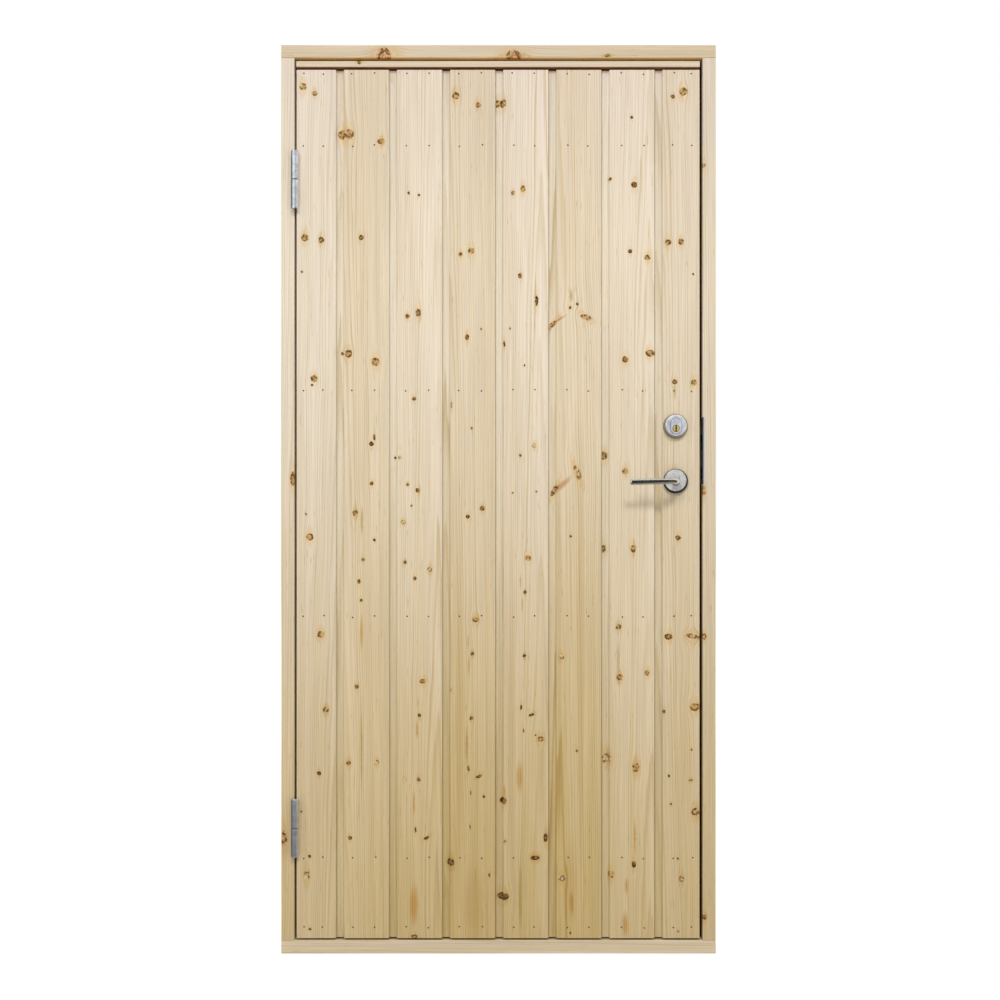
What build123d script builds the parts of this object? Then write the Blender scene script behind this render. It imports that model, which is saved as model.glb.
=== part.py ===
from build123d import *
import os

# Shed door in its frame, in millimetres.
# X runs to the right seen from outside, Y runs inwards through the doorway, Z runs up.
# The origin is the middle of the underside of the sill.

# Frame
FRAME_WIDTH = 990.0
FRAME_HEIGHT = 2070.0
FRAME_DEPTH = 92.0
FRAME_FACE = 30.0
STOP_LIP = 12.0
FRAME_ARRIS = 2.5
FIXING_COUNT = 4
FIXING_HOLE_RADIUS = 7.0
FIXING_END_DISTANCE = 150.0

# Gaps between the leaf and the frame
HINGE_GAP = 5.0
LOCK_GAP = 7.0
HEAD_GAP = 8.0
SILL_GAP = 5.0
STOP_GAP = 5.0

# Leaf: boards outside, a nailed frame of stiles and rails behind them
BOARD_PITCH = 121.0
BOARD_ROW_SHIFT = 2.5
BOARD_THICKNESS = 20.0
CHANNEL_WIDTH = 19.0
CHANNEL_DEPTH = 9.0
CHANNEL_SEAM_SLOPE = 1.5
CHANNEL_FAR_SLOPE = 0.5
BOARD_ARRIS = 1.0
TONGUE_LENGTH = 6.0
TONGUE_THICKNESS = 5.0
TONGUE_CLEARANCE = 0.3
TONGUE_BACKING = 3.0
BOARD_JOINT = 0.8
LEAF_FRAME_THICKNESS = 32.0
HINGE_STILE_WIDTH = 95.0
LOCK_STILE_WIDTH = 100.0
END_RAIL_HEIGHT = 200.0
MIDDLE_RAIL_HEIGHT = 95.0
MIDDLE_RAIL_HEIGHTS = (771.0, 1284.0)
LEAF_ARRIS = 2.0
STRIP_HEIGHT = 14.0
STRIP_PROUD = 4.0
STRIP_GROOVE = 5.0
STRIP_ARRIS = 2.0

# Lift-off hinges
HINGE_HEIGHT_ABOVE_SILL = 288.0
HINGE_DEPTH_BELOW_TOP = 309.0
KNUCKLE_RADIUS = 8.0
KNUCKLE_LENGTH = 65.0
KNUCKLE_END_BEVEL = 1.2
KNUCKLE_CLEAR_OF_FACE = 1.5
HINGE_PIN_RADIUS = 5.0
HINGE_PIN_REACH = 45.0
HINGE_PIN_CLEARANCE = 0.1
BEARING_THICKNESS = 2.0
BEARING_INSET = 1.5
BEARING_CLEARANCE = 0.2
HINGE_PLATE_THICKNESS = 2.5
HINGE_PLATE_DEPTH = 40.0

# Lock, cylinder and lever handle
BACKSET = 55.0
LEVER_HEIGHT = 1076.0
CYLINDER_ABOVE_LEVER = 125.0
RING_BASE_RADIUS = 28.5
RING_FACE_RADIUS = 24.0
RING_THICKNESS = 13.0
RING_EDGE_BEVEL = 1.2
CORE_WIDTH = 26.0
CORE_HEIGHT = 37.0
CORE_PROUD = 1.0
CORE_CLEARANCE = 0.3
PLUG_RADIUS = 8.0
PLUG_PROUD = 0.6
PLUG_LENGTH = 25.0
KEY_SLOT_WIDTH = 2.0
KEY_SLOT_HEIGHT = 11.0
KEY_SLOT_DEPTH = 9.0
ROSE_RADIUS = 28.0
ROSE_THICKNESS = 9.0
ROSE_RIM = 2.5
NECK_RADIUS = 10.0
NECK_CLEARANCE = 0.4
LEVER_REACH = 108.0
LEVER_STANDOFF = 52.0
LEVER_DROOP_ANGLE = 1.5
ELBOW_RADIUS = 7.0
GRIP_HEIGHT = 13.0
GRIP_DEPTH = 12.0
GRIP_BEVEL = 3.4
GRIP_TAPER_ANGLE = 1.1
TIP_BEVEL = 1.0
COLLAR_PROUD = 2.0
SPINDLE_WIDTH = 8.0
SPINDLE_CLEARANCE = 0.2
SPINDLE_SOCKET = 26.0
SPINDLE_BORE_RADIUS = 9.0
FOLLOWER_BORE_RADIUS = 7.0
TURN_LENGTH = 34.0
TURN_WIDTH = 13.0
TURN_STANDOFF = 22.0
TURN_BEVEL = 1.0
TURN_STEM_RADIUS = 6.0

# Mortise lock and strike
FOREND_LENGTH = 180.0
FOREND_WIDTH = 20.0
FOREND_THICKNESS = 3.0
CASE_THICKNESS = 15.0
CASE_MARGIN = 3.0
CASE_BEHIND_SPINDLE = 20.0
CASE_CLEARANCE = 0.5
LATCH_ABOVE_LEVER = 19.0
LATCH_LENGTH = 24.0
BOLT_ABOVE_LEVER = 89.0
BOLT_LENGTH = 32.0
BOLT_THICKNESS = 10.0
BOLT_DEPTH = 25.0
BOLT_CLEARANCE = 0.3
LATCH_BEVEL = 6.0
STRIKE_LENGTH = 154.0
STRIKE_MIDDLE_ABOVE_LEVER = 69.0
STRIKE_THICKNESS = 2.5
STRIKE_RECESS = 5.0
STRIKE_BEHIND_BOLT = 16.0
STRIKE_SLOT_MARGIN = 3.0
STRIKE_POCKET_DEPTH = 14.0

# Positions that follow from the sizes above
SAME_PLACE = 0.01
FRONT = -FRAME_DEPTH / 2
BACK = FRAME_DEPTH / 2
FRAME_SIDE = FRAME_WIDTH / 2
REBATE_SIDE = FRAME_SIDE - FRAME_FACE
STOP_SIDE = REBATE_SIDE - STOP_LIP
SILL_TOP = FRAME_FACE
SILL_STOP_TOP = SILL_TOP + STOP_LIP
HEAD_UNDERSIDE = FRAME_HEIGHT - FRAME_FACE
HEAD_STOP_UNDERSIDE = HEAD_UNDERSIDE - STOP_LIP
FIXING_PITCH = (FRAME_HEIGHT - 2 * FIXING_END_DISTANCE) / (FIXING_COUNT - 1)

LEAF_LEFT = -REBATE_SIDE + HINGE_GAP
LEAF_RIGHT = REBATE_SIDE - LOCK_GAP
LEAF_MIDDLE = (LEAF_LEFT + LEAF_RIGHT) / 2
LEAF_BOTTOM = SILL_TOP + SILL_GAP
LEAF_TOP = HEAD_UNDERSIDE - HEAD_GAP
BOARD_BACK = FRONT + BOARD_THICKNESS
LEAF_BACK = BOARD_BACK + LEAF_FRAME_THICKNESS
STOP_FRONT = LEAF_BACK + STOP_GAP
BOARD_TOP = LEAF_TOP - STRIP_HEIGHT - STRIP_GROOVE
CHANNEL_FLOOR = FRONT + CHANNEL_DEPTH
TONGUE_BACK = BOARD_BACK - TONGUE_BACKING
TONGUE_FRONT = TONGUE_BACK - TONGUE_THICKNESS
LEAF_FRAME_MIDDLE = (BOARD_BACK + LEAF_BACK) / 2
STILE_EDGE_HINGE = LEAF_LEFT + HINGE_STILE_WIDTH
STILE_EDGE_LOCK = LEAF_RIGHT - LOCK_STILE_WIDTH

# The two outer boards are cut to fit, and the one at the lock stays wide enough for the cylinder
NARROWEST_LOCK_BOARD = BACKSET + RING_BASE_RADIUS + CHANNEL_WIDTH / 2
OUTER_BOARDS = 2 * (NARROWEST_LOCK_BOARD + BOARD_ROW_SHIFT)
BOARD_COUNT = 2 + int((LEAF_RIGHT - LEAF_LEFT - OUTER_BOARDS) // BOARD_PITCH)

HINGE_AXIS_X = -REBATE_SIDE + HINGE_GAP / 2
HINGE_AXIS_Y = FRONT - KNUCKLE_RADIUS - KNUCKLE_CLEAR_OF_FACE
HINGE_HEIGHTS = {
    "lower": HINGE_HEIGHT_ABOVE_SILL,
    "upper": FRAME_HEIGHT - HINGE_DEPTH_BELOW_TOP,
}
HINGE_HALF_LENGTH = KNUCKLE_LENGTH + BEARING_THICKNESS / 2

LOCK_X = LEAF_RIGHT - BACKSET
CYLINDER_HEIGHT = LEVER_HEIGHT + CYLINDER_ABOVE_LEVER
LATCH_HEIGHT = LEVER_HEIGHT + LATCH_ABOVE_LEVER
BOLT_HEIGHT = LEVER_HEIGHT + BOLT_ABOVE_LEVER
STRIKE_MIDDLE_HEIGHT = LEVER_HEIGHT + STRIKE_MIDDLE_ABOVE_LEVER
FOREND_MIDDLE_HEIGHT = (LEVER_HEIGHT + CYLINDER_HEIGHT) / 2
CASE_FRONT = LEAF_FRAME_MIDDLE - CASE_THICKNESS / 2
CASE_BACK = LEAF_FRAME_MIDDLE + CASE_THICKNESS / 2
FRONT_FITTING = Plane(origin=(LOCK_X, FRONT, 0), x_dir=(1, 0, 0), z_dir=(0, -1, 0))
LEAF_MIDDLE_PLANE = Plane(
    origin=(LOCK_X, (FRONT + LEAF_BACK) / 2, 0), x_dir=(1, 0, 0), z_dir=(0, -1, 0)
)


def block(x_range, y_range, z_range):
    """Solid between two limits along each axis."""
    sizes = [abs(high - low) for low, high in (x_range, y_range, z_range)]
    middle = [(high + low) / 2 for low, high in (x_range, y_range, z_range)]
    return Pos(*middle) * Box(*sizes)


def upright(outline, bottom, top):
    """Solid with an outline in plan, standing between two heights."""
    face = make_face(Polyline(*outline, close=True))
    return Pos(0, 0, bottom) * extrude(face, top - bottom)


def crosspiece(outline, left, right):
    """Solid with an outline across the doorway (depth, height), lying between two sides."""
    face = make_face(Polyline(*outline, close=True))
    return Plane.YZ.offset(left) * extrude(face, right - left)


def cross_bore(x, z, radius, y_range):
    """Round bar through the leaf along Y."""
    length = y_range[1] - y_range[0]
    return Pos(x, sum(y_range) / 2, z) * Rot(90, 0, 0) * Cylinder(radius, length)


def turned(*stations):
    """Turned piece standing on XY: straight sides between circles given by radius and height."""
    circles = [Pos(0, 0, height) * Circle(radius) for radius, height in stations]
    return loft(circles, ruled=True)


def edges_along(solid, axis, **where):
    """Edges of a solid along an axis that lie at the given coordinates."""
    found = solid.edges().filter_by(axis)
    for name, value in where.items():
        found = [edge for edge in found if abs(getattr(edge.center(), name) - value) < SAME_PLACE]
    return found


def fixing_heights():
    return [FIXING_END_DISTANCE + FIXING_PITCH * index for index in range(FIXING_COUNT)]


def jamb(side):
    """Rebated upright of the frame on one side, stepped over the stops of head and sill."""
    outline = [
        (side * FRAME_SIDE, FRONT),
        (side * REBATE_SIDE, FRONT),
        (side * REBATE_SIDE, STOP_FRONT),
        (side * STOP_SIDE, STOP_FRONT),
        (side * STOP_SIDE, BACK),
        (side * FRAME_SIDE, BACK),
    ]
    solid = upright(outline, SILL_TOP, HEAD_UNDERSIDE)
    arrises = edges_along(solid, Axis.Z, X=side * REBATE_SIDE, Y=FRONT)
    arrises += edges_along(solid, Axis.Z, X=side * STOP_SIDE, Y=BACK)
    solid = fillet(arrises, FRAME_ARRIS)
    across = sorted((side * FRAME_SIDE, side * STOP_SIDE))
    solid -= block(across, (STOP_FRONT, BACK), (SILL_TOP, SILL_STOP_TOP))
    solid -= block(across, (STOP_FRONT, BACK), (HEAD_STOP_UNDERSIDE, HEAD_UNDERSIDE))
    for height in fixing_heights():
        hole = Rot(0, 90, 0) * Cylinder(FIXING_HOLE_RADIUS, FRAME_WIDTH / 2)
        solid -= Pos(side * FRAME_SIDE, (STOP_FRONT + BACK) / 2, height) * hole
    return solid


def head():
    """Rebated top member, full width."""
    outline = [
        (FRONT, FRAME_HEIGHT),
        (BACK, FRAME_HEIGHT),
        (BACK, HEAD_STOP_UNDERSIDE),
        (STOP_FRONT, HEAD_STOP_UNDERSIDE),
        (STOP_FRONT, HEAD_UNDERSIDE),
        (FRONT, HEAD_UNDERSIDE),
    ]
    solid = crosspiece(outline, -FRAME_SIDE, FRAME_SIDE)
    arrises = edges_along(solid, Axis.X, Y=FRONT, Z=HEAD_UNDERSIDE)
    arrises += edges_along(solid, Axis.X, Y=FRONT, Z=FRAME_HEIGHT)
    return fillet(arrises, FRAME_ARRIS)


def sill():
    """Rebated bottom member, full width."""
    outline = [
        (FRONT, 0),
        (BACK, 0),
        (BACK, SILL_STOP_TOP),
        (STOP_FRONT, SILL_STOP_TOP),
        (STOP_FRONT, SILL_TOP),
        (FRONT, SILL_TOP),
    ]
    solid = crosspiece(outline, -FRAME_SIDE, FRAME_SIDE)
    arrises = edges_along(solid, Axis.X, Y=FRONT, Z=SILL_TOP)
    arrises += edges_along(solid, Axis.X, Y=BACK, Z=SILL_STOP_TOP)
    return fillet(arrises, FRAME_ARRIS)


def joint_positions():
    """Where the edge of one board meets the lip of the next, at the left wall of each channel."""
    first = LEAF_MIDDLE + BOARD_ROW_SHIFT - BOARD_PITCH * (BOARD_COUNT - 2) / 2
    wall = CHANNEL_SEAM_SLOPE - CHANNEL_WIDTH / 2
    return [first + wall + BOARD_PITCH * index for index in range(BOARD_COUNT - 1)]


def board_left_edge(joint):
    """Outline of the lip and tongue at the left of a board, from the back to the face."""
    shoulder = joint + BOARD_JOINT
    tip = joint - TONGUE_LENGTH
    floor_end = joint + CHANNEL_WIDTH - CHANNEL_SEAM_SLOPE - CHANNEL_FAR_SLOPE
    return [
        (shoulder, BOARD_BACK),
        (shoulder, TONGUE_BACK),
        (tip, TONGUE_BACK),
        (tip, TONGUE_FRONT),
        (shoulder, TONGUE_FRONT),
        (shoulder, CHANNEL_FLOOR),
        (floor_end, CHANNEL_FLOOR),
        (floor_end + CHANNEL_FAR_SLOPE, FRONT),
    ]


def board_right_edge(joint):
    """Outline of the grooved edge at the right of a board, from the face to the back."""
    bottom = joint - TONGUE_LENGTH - TONGUE_CLEARANCE
    return [
        (joint - CHANNEL_SEAM_SLOPE, FRONT),
        (joint, CHANNEL_FLOOR),
        (joint, TONGUE_FRONT - TONGUE_CLEARANCE),
        (bottom, TONGUE_FRONT - TONGUE_CLEARANCE),
        (bottom, TONGUE_BACK + TONGUE_CLEARANCE),
        (joint, TONGUE_BACK + TONGUE_CLEARANCE),
        (joint, BOARD_BACK),
    ]


def board(index):
    """One tongued and grooved board with the channel beside it."""
    joints = joint_positions()
    if index == 0:
        outline = [(LEAF_LEFT, BOARD_BACK), (LEAF_LEFT, FRONT)]
    else:
        outline = board_left_edge(joints[index - 1])
    face_left = outline[-1][0]
    if index == BOARD_COUNT - 1:
        right = [(LEAF_RIGHT, FRONT), (LEAF_RIGHT, BOARD_BACK)]
    else:
        right = board_right_edge(joints[index])
    face_right = right[0][0]
    solid = upright(outline + right, LEAF_BOTTOM, BOARD_TOP)
    arrises = edges_along(solid, Axis.Z, X=face_left, Y=FRONT)
    arrises += edges_along(solid, Axis.Z, X=face_right, Y=FRONT)
    return fillet(arrises, BOARD_ARRIS)


def leaf_upright(left, right):
    """Stile behind the boards."""
    return block((left, right), (BOARD_BACK, LEAF_BACK), (LEAF_BOTTOM, LEAF_TOP))


def rail(bottom, top):
    """Rail between the stiles, eased along its back edges that face the open panels."""
    solid = block((STILE_EDGE_HINGE, STILE_EDGE_LOCK), (BOARD_BACK, LEAF_BACK), (bottom, top))
    arrises = []
    if bottom > LEAF_BOTTOM:
        arrises += edges_along(solid, Axis.X, Y=LEAF_BACK, Z=bottom)
    if top < LEAF_TOP:
        arrises += edges_along(solid, Axis.X, Y=LEAF_BACK, Z=top)
    return fillet(arrises, LEAF_ARRIS)


def top_strip():
    """Narrow strip above the boards, standing a little proud of them."""
    front = FRONT - STRIP_PROUD
    bottom = LEAF_TOP - STRIP_HEIGHT
    solid = block((LEAF_LEFT, LEAF_RIGHT), (front, BOARD_BACK), (bottom, LEAF_TOP))
    arrises = edges_along(solid, Axis.X, Y=front)
    return fillet(arrises, STRIP_ARRIS)


def hinge_plate_space(side, height):
    """Plate let into the jamb (side -1) or into the edge of the leaf (side 1)."""
    near = HINGE_AXIS_X + side * HINGE_GAP / 2
    far = near + side * HINGE_PLATE_THICKNESS
    heights = (height - HINGE_HALF_LENGTH, height + HINGE_HALF_LENGTH)
    return block(sorted((near, far)), (FRONT, FRONT + HINGE_PLATE_DEPTH), heights)


def hinge_half(side, height):
    """Plate and knuckle: the lower knuckle on the frame, the upper one on the leaf."""
    start = BEARING_THICKNESS / 2
    if side > 0:
        start += BEARING_CLEARANCE
    knuckle = turned(
        (KNUCKLE_RADIUS, start),
        (KNUCKLE_RADIUS, HINGE_HALF_LENGTH - KNUCKLE_END_BEVEL),
        (KNUCKLE_RADIUS - KNUCKLE_END_BEVEL, HINGE_HALF_LENGTH),
    )
    if side < 0:
        knuckle = Rot(180, 0, 0) * knuckle
    near = HINGE_AXIS_X + side * HINGE_GAP / 2
    across = sorted((near, near + side * HINGE_PLATE_THICKNESS))
    reach = HINGE_HALF_LENGTH - KNUCKLE_END_BEVEL
    heights = sorted((height + side * start, height + side * reach))
    web = block(across, (HINGE_AXIS_Y, FRONT), heights)
    solid = Pos(HINGE_AXIS_X, HINGE_AXIS_Y, height) * knuckle + web + hinge_plate_space(side, height)
    return solid - hinge_pin_space(height, HINGE_PIN_CLEARANCE)


def hinge_pin_space(height, clearance):
    """Round bar on the hinge axis, with room around it when a clearance is given."""
    reach = HINGE_PIN_REACH + clearance
    return Pos(HINGE_AXIS_X, HINGE_AXIS_Y, height) * Cylinder(HINGE_PIN_RADIUS + clearance, 2 * reach)


def hinge_pin(height):
    """Pin that stays in the lower knuckle, with the collar that the upper knuckle turns on."""
    collar = Cylinder(KNUCKLE_RADIUS - BEARING_INSET, BEARING_THICKNESS)
    return hinge_pin_space(height, 0) + Pos(HINGE_AXIS_X, HINGE_AXIS_Y, height) * collar


def oval(width, height):
    """Upright oval outline with straight sides."""
    return Rot(0, 0, 90) * SlotOverall(height, width)


def cylinder_core_space(clearance):
    """Oval bar from the face of the lock cylinder back to the lock case."""
    length = RING_THICKNESS + CORE_PROUD + CASE_FRONT - FRONT
    outline = oval(CORE_WIDTH + 2 * clearance, CORE_HEIGHT + 2 * clearance)
    bar = Pos(0, CYLINDER_HEIGHT, RING_THICKNESS + CORE_PROUD) * extrude(outline, -length)
    return FRONT_FITTING * bar


def cylinder_ring():
    """Tapered collar round the lock cylinder."""
    solid = turned(
        (RING_BASE_RADIUS, 0),
        (RING_FACE_RADIUS, RING_THICKNESS - RING_EDGE_BEVEL),
        (RING_FACE_RADIUS - RING_EDGE_BEVEL, RING_THICKNESS),
    )
    solid = FRONT_FITTING * (Pos(0, CYLINDER_HEIGHT, 0) * solid)
    return solid - cylinder_core_space(CORE_CLEARANCE)


def plug_place():
    """Middle of the key plug on the face of the cylinder: the centre of the lower round of the oval."""
    below = (CORE_HEIGHT - CORE_WIDTH) / 2
    return FRONT_FITTING * Pos(0, CYLINDER_HEIGHT - below, RING_THICKNESS + CORE_PROUD)


def cylinder_core():
    """Oval lock cylinder with the bore for its plug."""
    bore = Cylinder(PLUG_RADIUS + CORE_CLEARANCE, 2 * PLUG_LENGTH)
    return cylinder_core_space(0) - plug_place() * bore


def key_plug():
    """Round plug with the upright key slot."""
    solid = Pos(0, 0, PLUG_PROUD - PLUG_LENGTH / 2) * Cylinder(PLUG_RADIUS, PLUG_LENGTH)
    slot = Box(KEY_SLOT_WIDTH, KEY_SLOT_HEIGHT, KEY_SLOT_DEPTH * 2)
    return plug_place() * (solid - Pos(0, 0, PLUG_PROUD) * slot)


def turned_rose(bore_radius):
    """Disc with a bevelled rim and a bore."""
    solid = turned(
        (ROSE_RADIUS, 0),
        (ROSE_RADIUS, ROSE_THICKNESS - ROSE_RIM),
        (ROSE_RADIUS - ROSE_RIM, ROSE_THICKNESS),
    )
    return solid - Cylinder(bore_radius, 2 * ROSE_THICKNESS)


def outer_rose():
    """Round rose behind the lever."""
    solid = turned_rose(NECK_RADIUS + NECK_CLEARANCE)
    return FRONT_FITTING * (Pos(0, LEVER_HEIGHT, 0) * solid)


def lever_grip():
    """Bevelled bar that tapers from the elbow of the lever to its tip."""
    outline = Rectangle(GRIP_DEPTH, GRIP_HEIGHT)
    outline = chamfer(outline.vertices(), GRIP_BEVEL)
    bar = extrude(outline, LEVER_REACH, taper=GRIP_TAPER_ANGLE)
    end = bar.faces().sort_by(Axis.Z)[-1]
    bar = chamfer(end.edges(), TIP_BEVEL)
    return Pos(0, 0, LEVER_STANDOFF) * Rot(0, -90, 0) * bar


def lever_neck(bottom):
    """Round neck that is rolled over at its outer end, where it turns into the grip."""
    neck = turned((ELBOW_RADIUS, bottom), (ELBOW_RADIUS, LEVER_STANDOFF + ELBOW_RADIUS))
    elbow = Pos(0, 0, LEVER_STANDOFF) * Rot(90, 0, 0) * Cylinder(ELBOW_RADIUS, 2 * ELBOW_RADIUS)
    below = Pos(0, 0, LEVER_STANDOFF / 2) * Box(2 * ELBOW_RADIUS, 2 * ELBOW_RADIUS, LEVER_STANDOFF)
    return neck & (elbow + below)


def outer_lever():
    """Lever handle: collar in the rose, neck and grip, with the socket for the spindle."""
    collar_top = ROSE_THICKNESS + COLLAR_PROUD
    collar = turned((NECK_RADIUS, NECK_CLEARANCE), (NECK_RADIUS, collar_top))
    socket_width = SPINDLE_WIDTH + 2 * SPINDLE_CLEARANCE
    socket = Box(socket_width, socket_width, 2 * SPINDLE_SOCKET)
    solid = collar + lever_neck(collar_top) + lever_grip() - socket
    tilted = Rot(0, 0, LEVER_DROOP_ANGLE) * solid
    return FRONT_FITTING * (Pos(0, LEVER_HEIGHT, 0) * tilted)


def spindle():
    """Square bar through the lock that joins the two levers."""
    reach = SPINDLE_SOCKET - 2 * SPINDLE_CLEARANCE
    length = LEAF_BACK - FRONT + 2 * reach
    bar = Rot(0, 0, LEVER_DROOP_ANGLE) * Box(SPINDLE_WIDTH, SPINDLE_WIDTH, length)
    return FRONT_FITTING * (Pos(0, LEVER_HEIGHT, reach - length / 2) * bar)


def inside(solid):
    """The same fitting on the inside of the leaf."""
    return mirror(solid, about=LEAF_MIDDLE_PLANE)


def turn_rose():
    """Round rose of the inside thumb turn."""
    solid = turned_rose(TURN_STEM_RADIUS + NECK_CLEARANCE)
    return inside(FRONT_FITTING * (Pos(0, CYLINDER_HEIGHT, 0) * solid))


def turn_knob():
    """Thumb turn: upright oval wing on a round stem."""
    wing = extrude(oval(TURN_WIDTH, TURN_LENGTH), TURN_STANDOFF - ROSE_THICKNESS - NECK_CLEARANCE)
    rim = wing.edges().group_by(Axis.Z)[-1]
    wing = Pos(0, 0, ROSE_THICKNESS + NECK_CLEARANCE) * chamfer(rim, TURN_BEVEL)
    stem_back = -(LEAF_BACK - CASE_BACK)
    stem_length = ROSE_THICKNESS + NECK_CLEARANCE - stem_back
    stem = Pos(0, 0, stem_back + stem_length / 2) * Cylinder(TURN_STEM_RADIUS, stem_length)
    return inside(FRONT_FITTING * (Pos(0, CYLINDER_HEIGHT, 0) * (wing + stem)))


def forend_space():
    """Face plate of the lock, flush in the edge of the leaf."""
    half = FOREND_LENGTH / 2
    depth = (LEAF_FRAME_MIDDLE - FOREND_WIDTH / 2, LEAF_FRAME_MIDDLE + FOREND_WIDTH / 2)
    heights = (FOREND_MIDDLE_HEIGHT - half, FOREND_MIDDLE_HEIGHT + half)
    return block((LEAF_RIGHT - FOREND_THICKNESS, LEAF_RIGHT), depth, heights)


def case_space(clearance):
    """Lock case behind the face plate, with room around it when a clearance is given."""
    half = FOREND_LENGTH / 2 - CASE_MARGIN + clearance
    across = (LOCK_X - CASE_BEHIND_SPINDLE - clearance, LEAF_RIGHT - FOREND_THICKNESS)
    heights = (FOREND_MIDDLE_HEIGHT - half, FOREND_MIDDLE_HEIGHT + half)
    return block(across, (CASE_FRONT, CASE_BACK), heights)


def bolt_space(height, length, clearance):
    """Bolt drawn back flush with the face plate."""
    half = length / 2 + clearance
    half_thickness = BOLT_THICKNESS / 2 + clearance
    depth = (LEAF_FRAME_MIDDLE - half_thickness, LEAF_FRAME_MIDDLE + half_thickness)
    return block((LEAF_RIGHT - BOLT_DEPTH, LEAF_RIGHT), depth, (height - half, height + half))


def latch_bolt():
    """Latch with its slanting nose."""
    solid = bolt_space(LATCH_HEIGHT, LATCH_LENGTH, 0)
    nose = edges_along(solid, Axis.Z, X=LEAF_RIGHT, Y=LEAF_FRAME_MIDDLE + BOLT_THICKNESS / 2)
    return chamfer(nose, LATCH_BEVEL)


def dead_bolt():
    """Square-ended bolt."""
    return bolt_space(BOLT_HEIGHT, BOLT_LENGTH, 0)


def lock_case():
    """Mortise lock: face plate and case, with the bolt openings and the spindle hole."""
    solid = forend_space() + case_space(0)
    solid -= bolt_space(LATCH_HEIGHT, LATCH_LENGTH, BOLT_CLEARANCE)
    solid -= bolt_space(BOLT_HEIGHT, BOLT_LENGTH, BOLT_CLEARANCE)
    return solid - cross_bore(LOCK_X, LEVER_HEIGHT, FOLLOWER_BORE_RADIUS, (CASE_FRONT, CASE_BACK))


def strike_depth():
    """Front and back limits of the strike plate across the jamb."""
    return FRONT, LEAF_FRAME_MIDDLE + STRIKE_BEHIND_BOLT


def strike_slots(near, far):
    """Openings for the latch and the bolt between two distances from the middle of the doorway."""
    half_thickness = BOLT_THICKNESS / 2 + STRIKE_SLOT_MARGIN
    depth = (LEAF_FRAME_MIDDLE - half_thickness, LEAF_FRAME_MIDDLE + half_thickness)
    slots = []
    for height, length in ((LATCH_HEIGHT, LATCH_LENGTH), (BOLT_HEIGHT, BOLT_LENGTH)):
        half = length / 2 + STRIKE_SLOT_MARGIN
        slots.append(block((near, far), depth, (height - half, height + half)))
    return slots


def strike_plate():
    """Steel plate at the bottom of its recess in the lock jamb."""
    outer = REBATE_SIDE + STRIKE_RECESS
    inner = outer - STRIKE_THICKNESS
    half = STRIKE_LENGTH / 2
    heights = (STRIKE_MIDDLE_HEIGHT - half, STRIKE_MIDDLE_HEIGHT + half)
    return block((inner, outer), strike_depth(), heights) - strike_slots(inner, outer)


def hinge_jamb():
    """Left upright of the frame, cut for the hinge plates."""
    solid = jamb(-1)
    for height in HINGE_HEIGHTS.values():
        solid -= hinge_plate_space(-1, height)
    return solid


def lock_jamb():
    """Right upright of the frame, cut for the strike plate and the bolts."""
    solid = jamb(1)
    bottom = REBATE_SIDE + STRIKE_RECESS
    half = STRIKE_LENGTH / 2
    heights = (STRIKE_MIDDLE_HEIGHT - half, STRIKE_MIDDLE_HEIGHT + half)
    solid -= block((REBATE_SIDE, bottom), strike_depth(), heights)
    return solid - strike_slots(bottom, bottom + STRIKE_POCKET_DEPTH)


def hinge_stile():
    """Stile beside the hinges."""
    solid = leaf_upright(LEAF_LEFT, STILE_EDGE_HINGE)
    for height in HINGE_HEIGHTS.values():
        solid -= hinge_plate_space(1, height)
    return solid


def lock_stile():
    """Stile that holds the lock."""
    solid = leaf_upright(STILE_EDGE_LOCK, LEAF_RIGHT)
    solid -= forend_space()
    solid -= case_space(CASE_CLEARANCE)
    solid -= cylinder_core_space(CORE_CLEARANCE)
    solid -= cross_bore(LOCK_X, LEVER_HEIGHT, SPINDLE_BORE_RADIUS, (BOARD_BACK, LEAF_BACK))
    stem_radius = TURN_STEM_RADIUS + NECK_CLEARANCE
    return solid - cross_bore(LOCK_X, CYLINDER_HEIGHT, stem_radius, (CASE_BACK, LEAF_BACK))


def fitted_board(index):
    """Board with the cuts for hinge plates, lock cylinder and spindle where they meet it."""
    solid = board(index)
    cuts = [hinge_plate_space(1, height) for height in HINGE_HEIGHTS.values()]
    cuts.append(cylinder_core_space(CORE_CLEARANCE))
    cuts.append(cross_bore(LOCK_X, LEVER_HEIGHT, SPINDLE_BORE_RADIUS, (FRONT, BOARD_BACK)))
    limits = solid.bounding_box()
    for cut in cuts:
        reach = cut.bounding_box()
        if reach.max.X > limits.min.X and reach.min.X < limits.max.X:
            solid -= cut
    return solid


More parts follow.
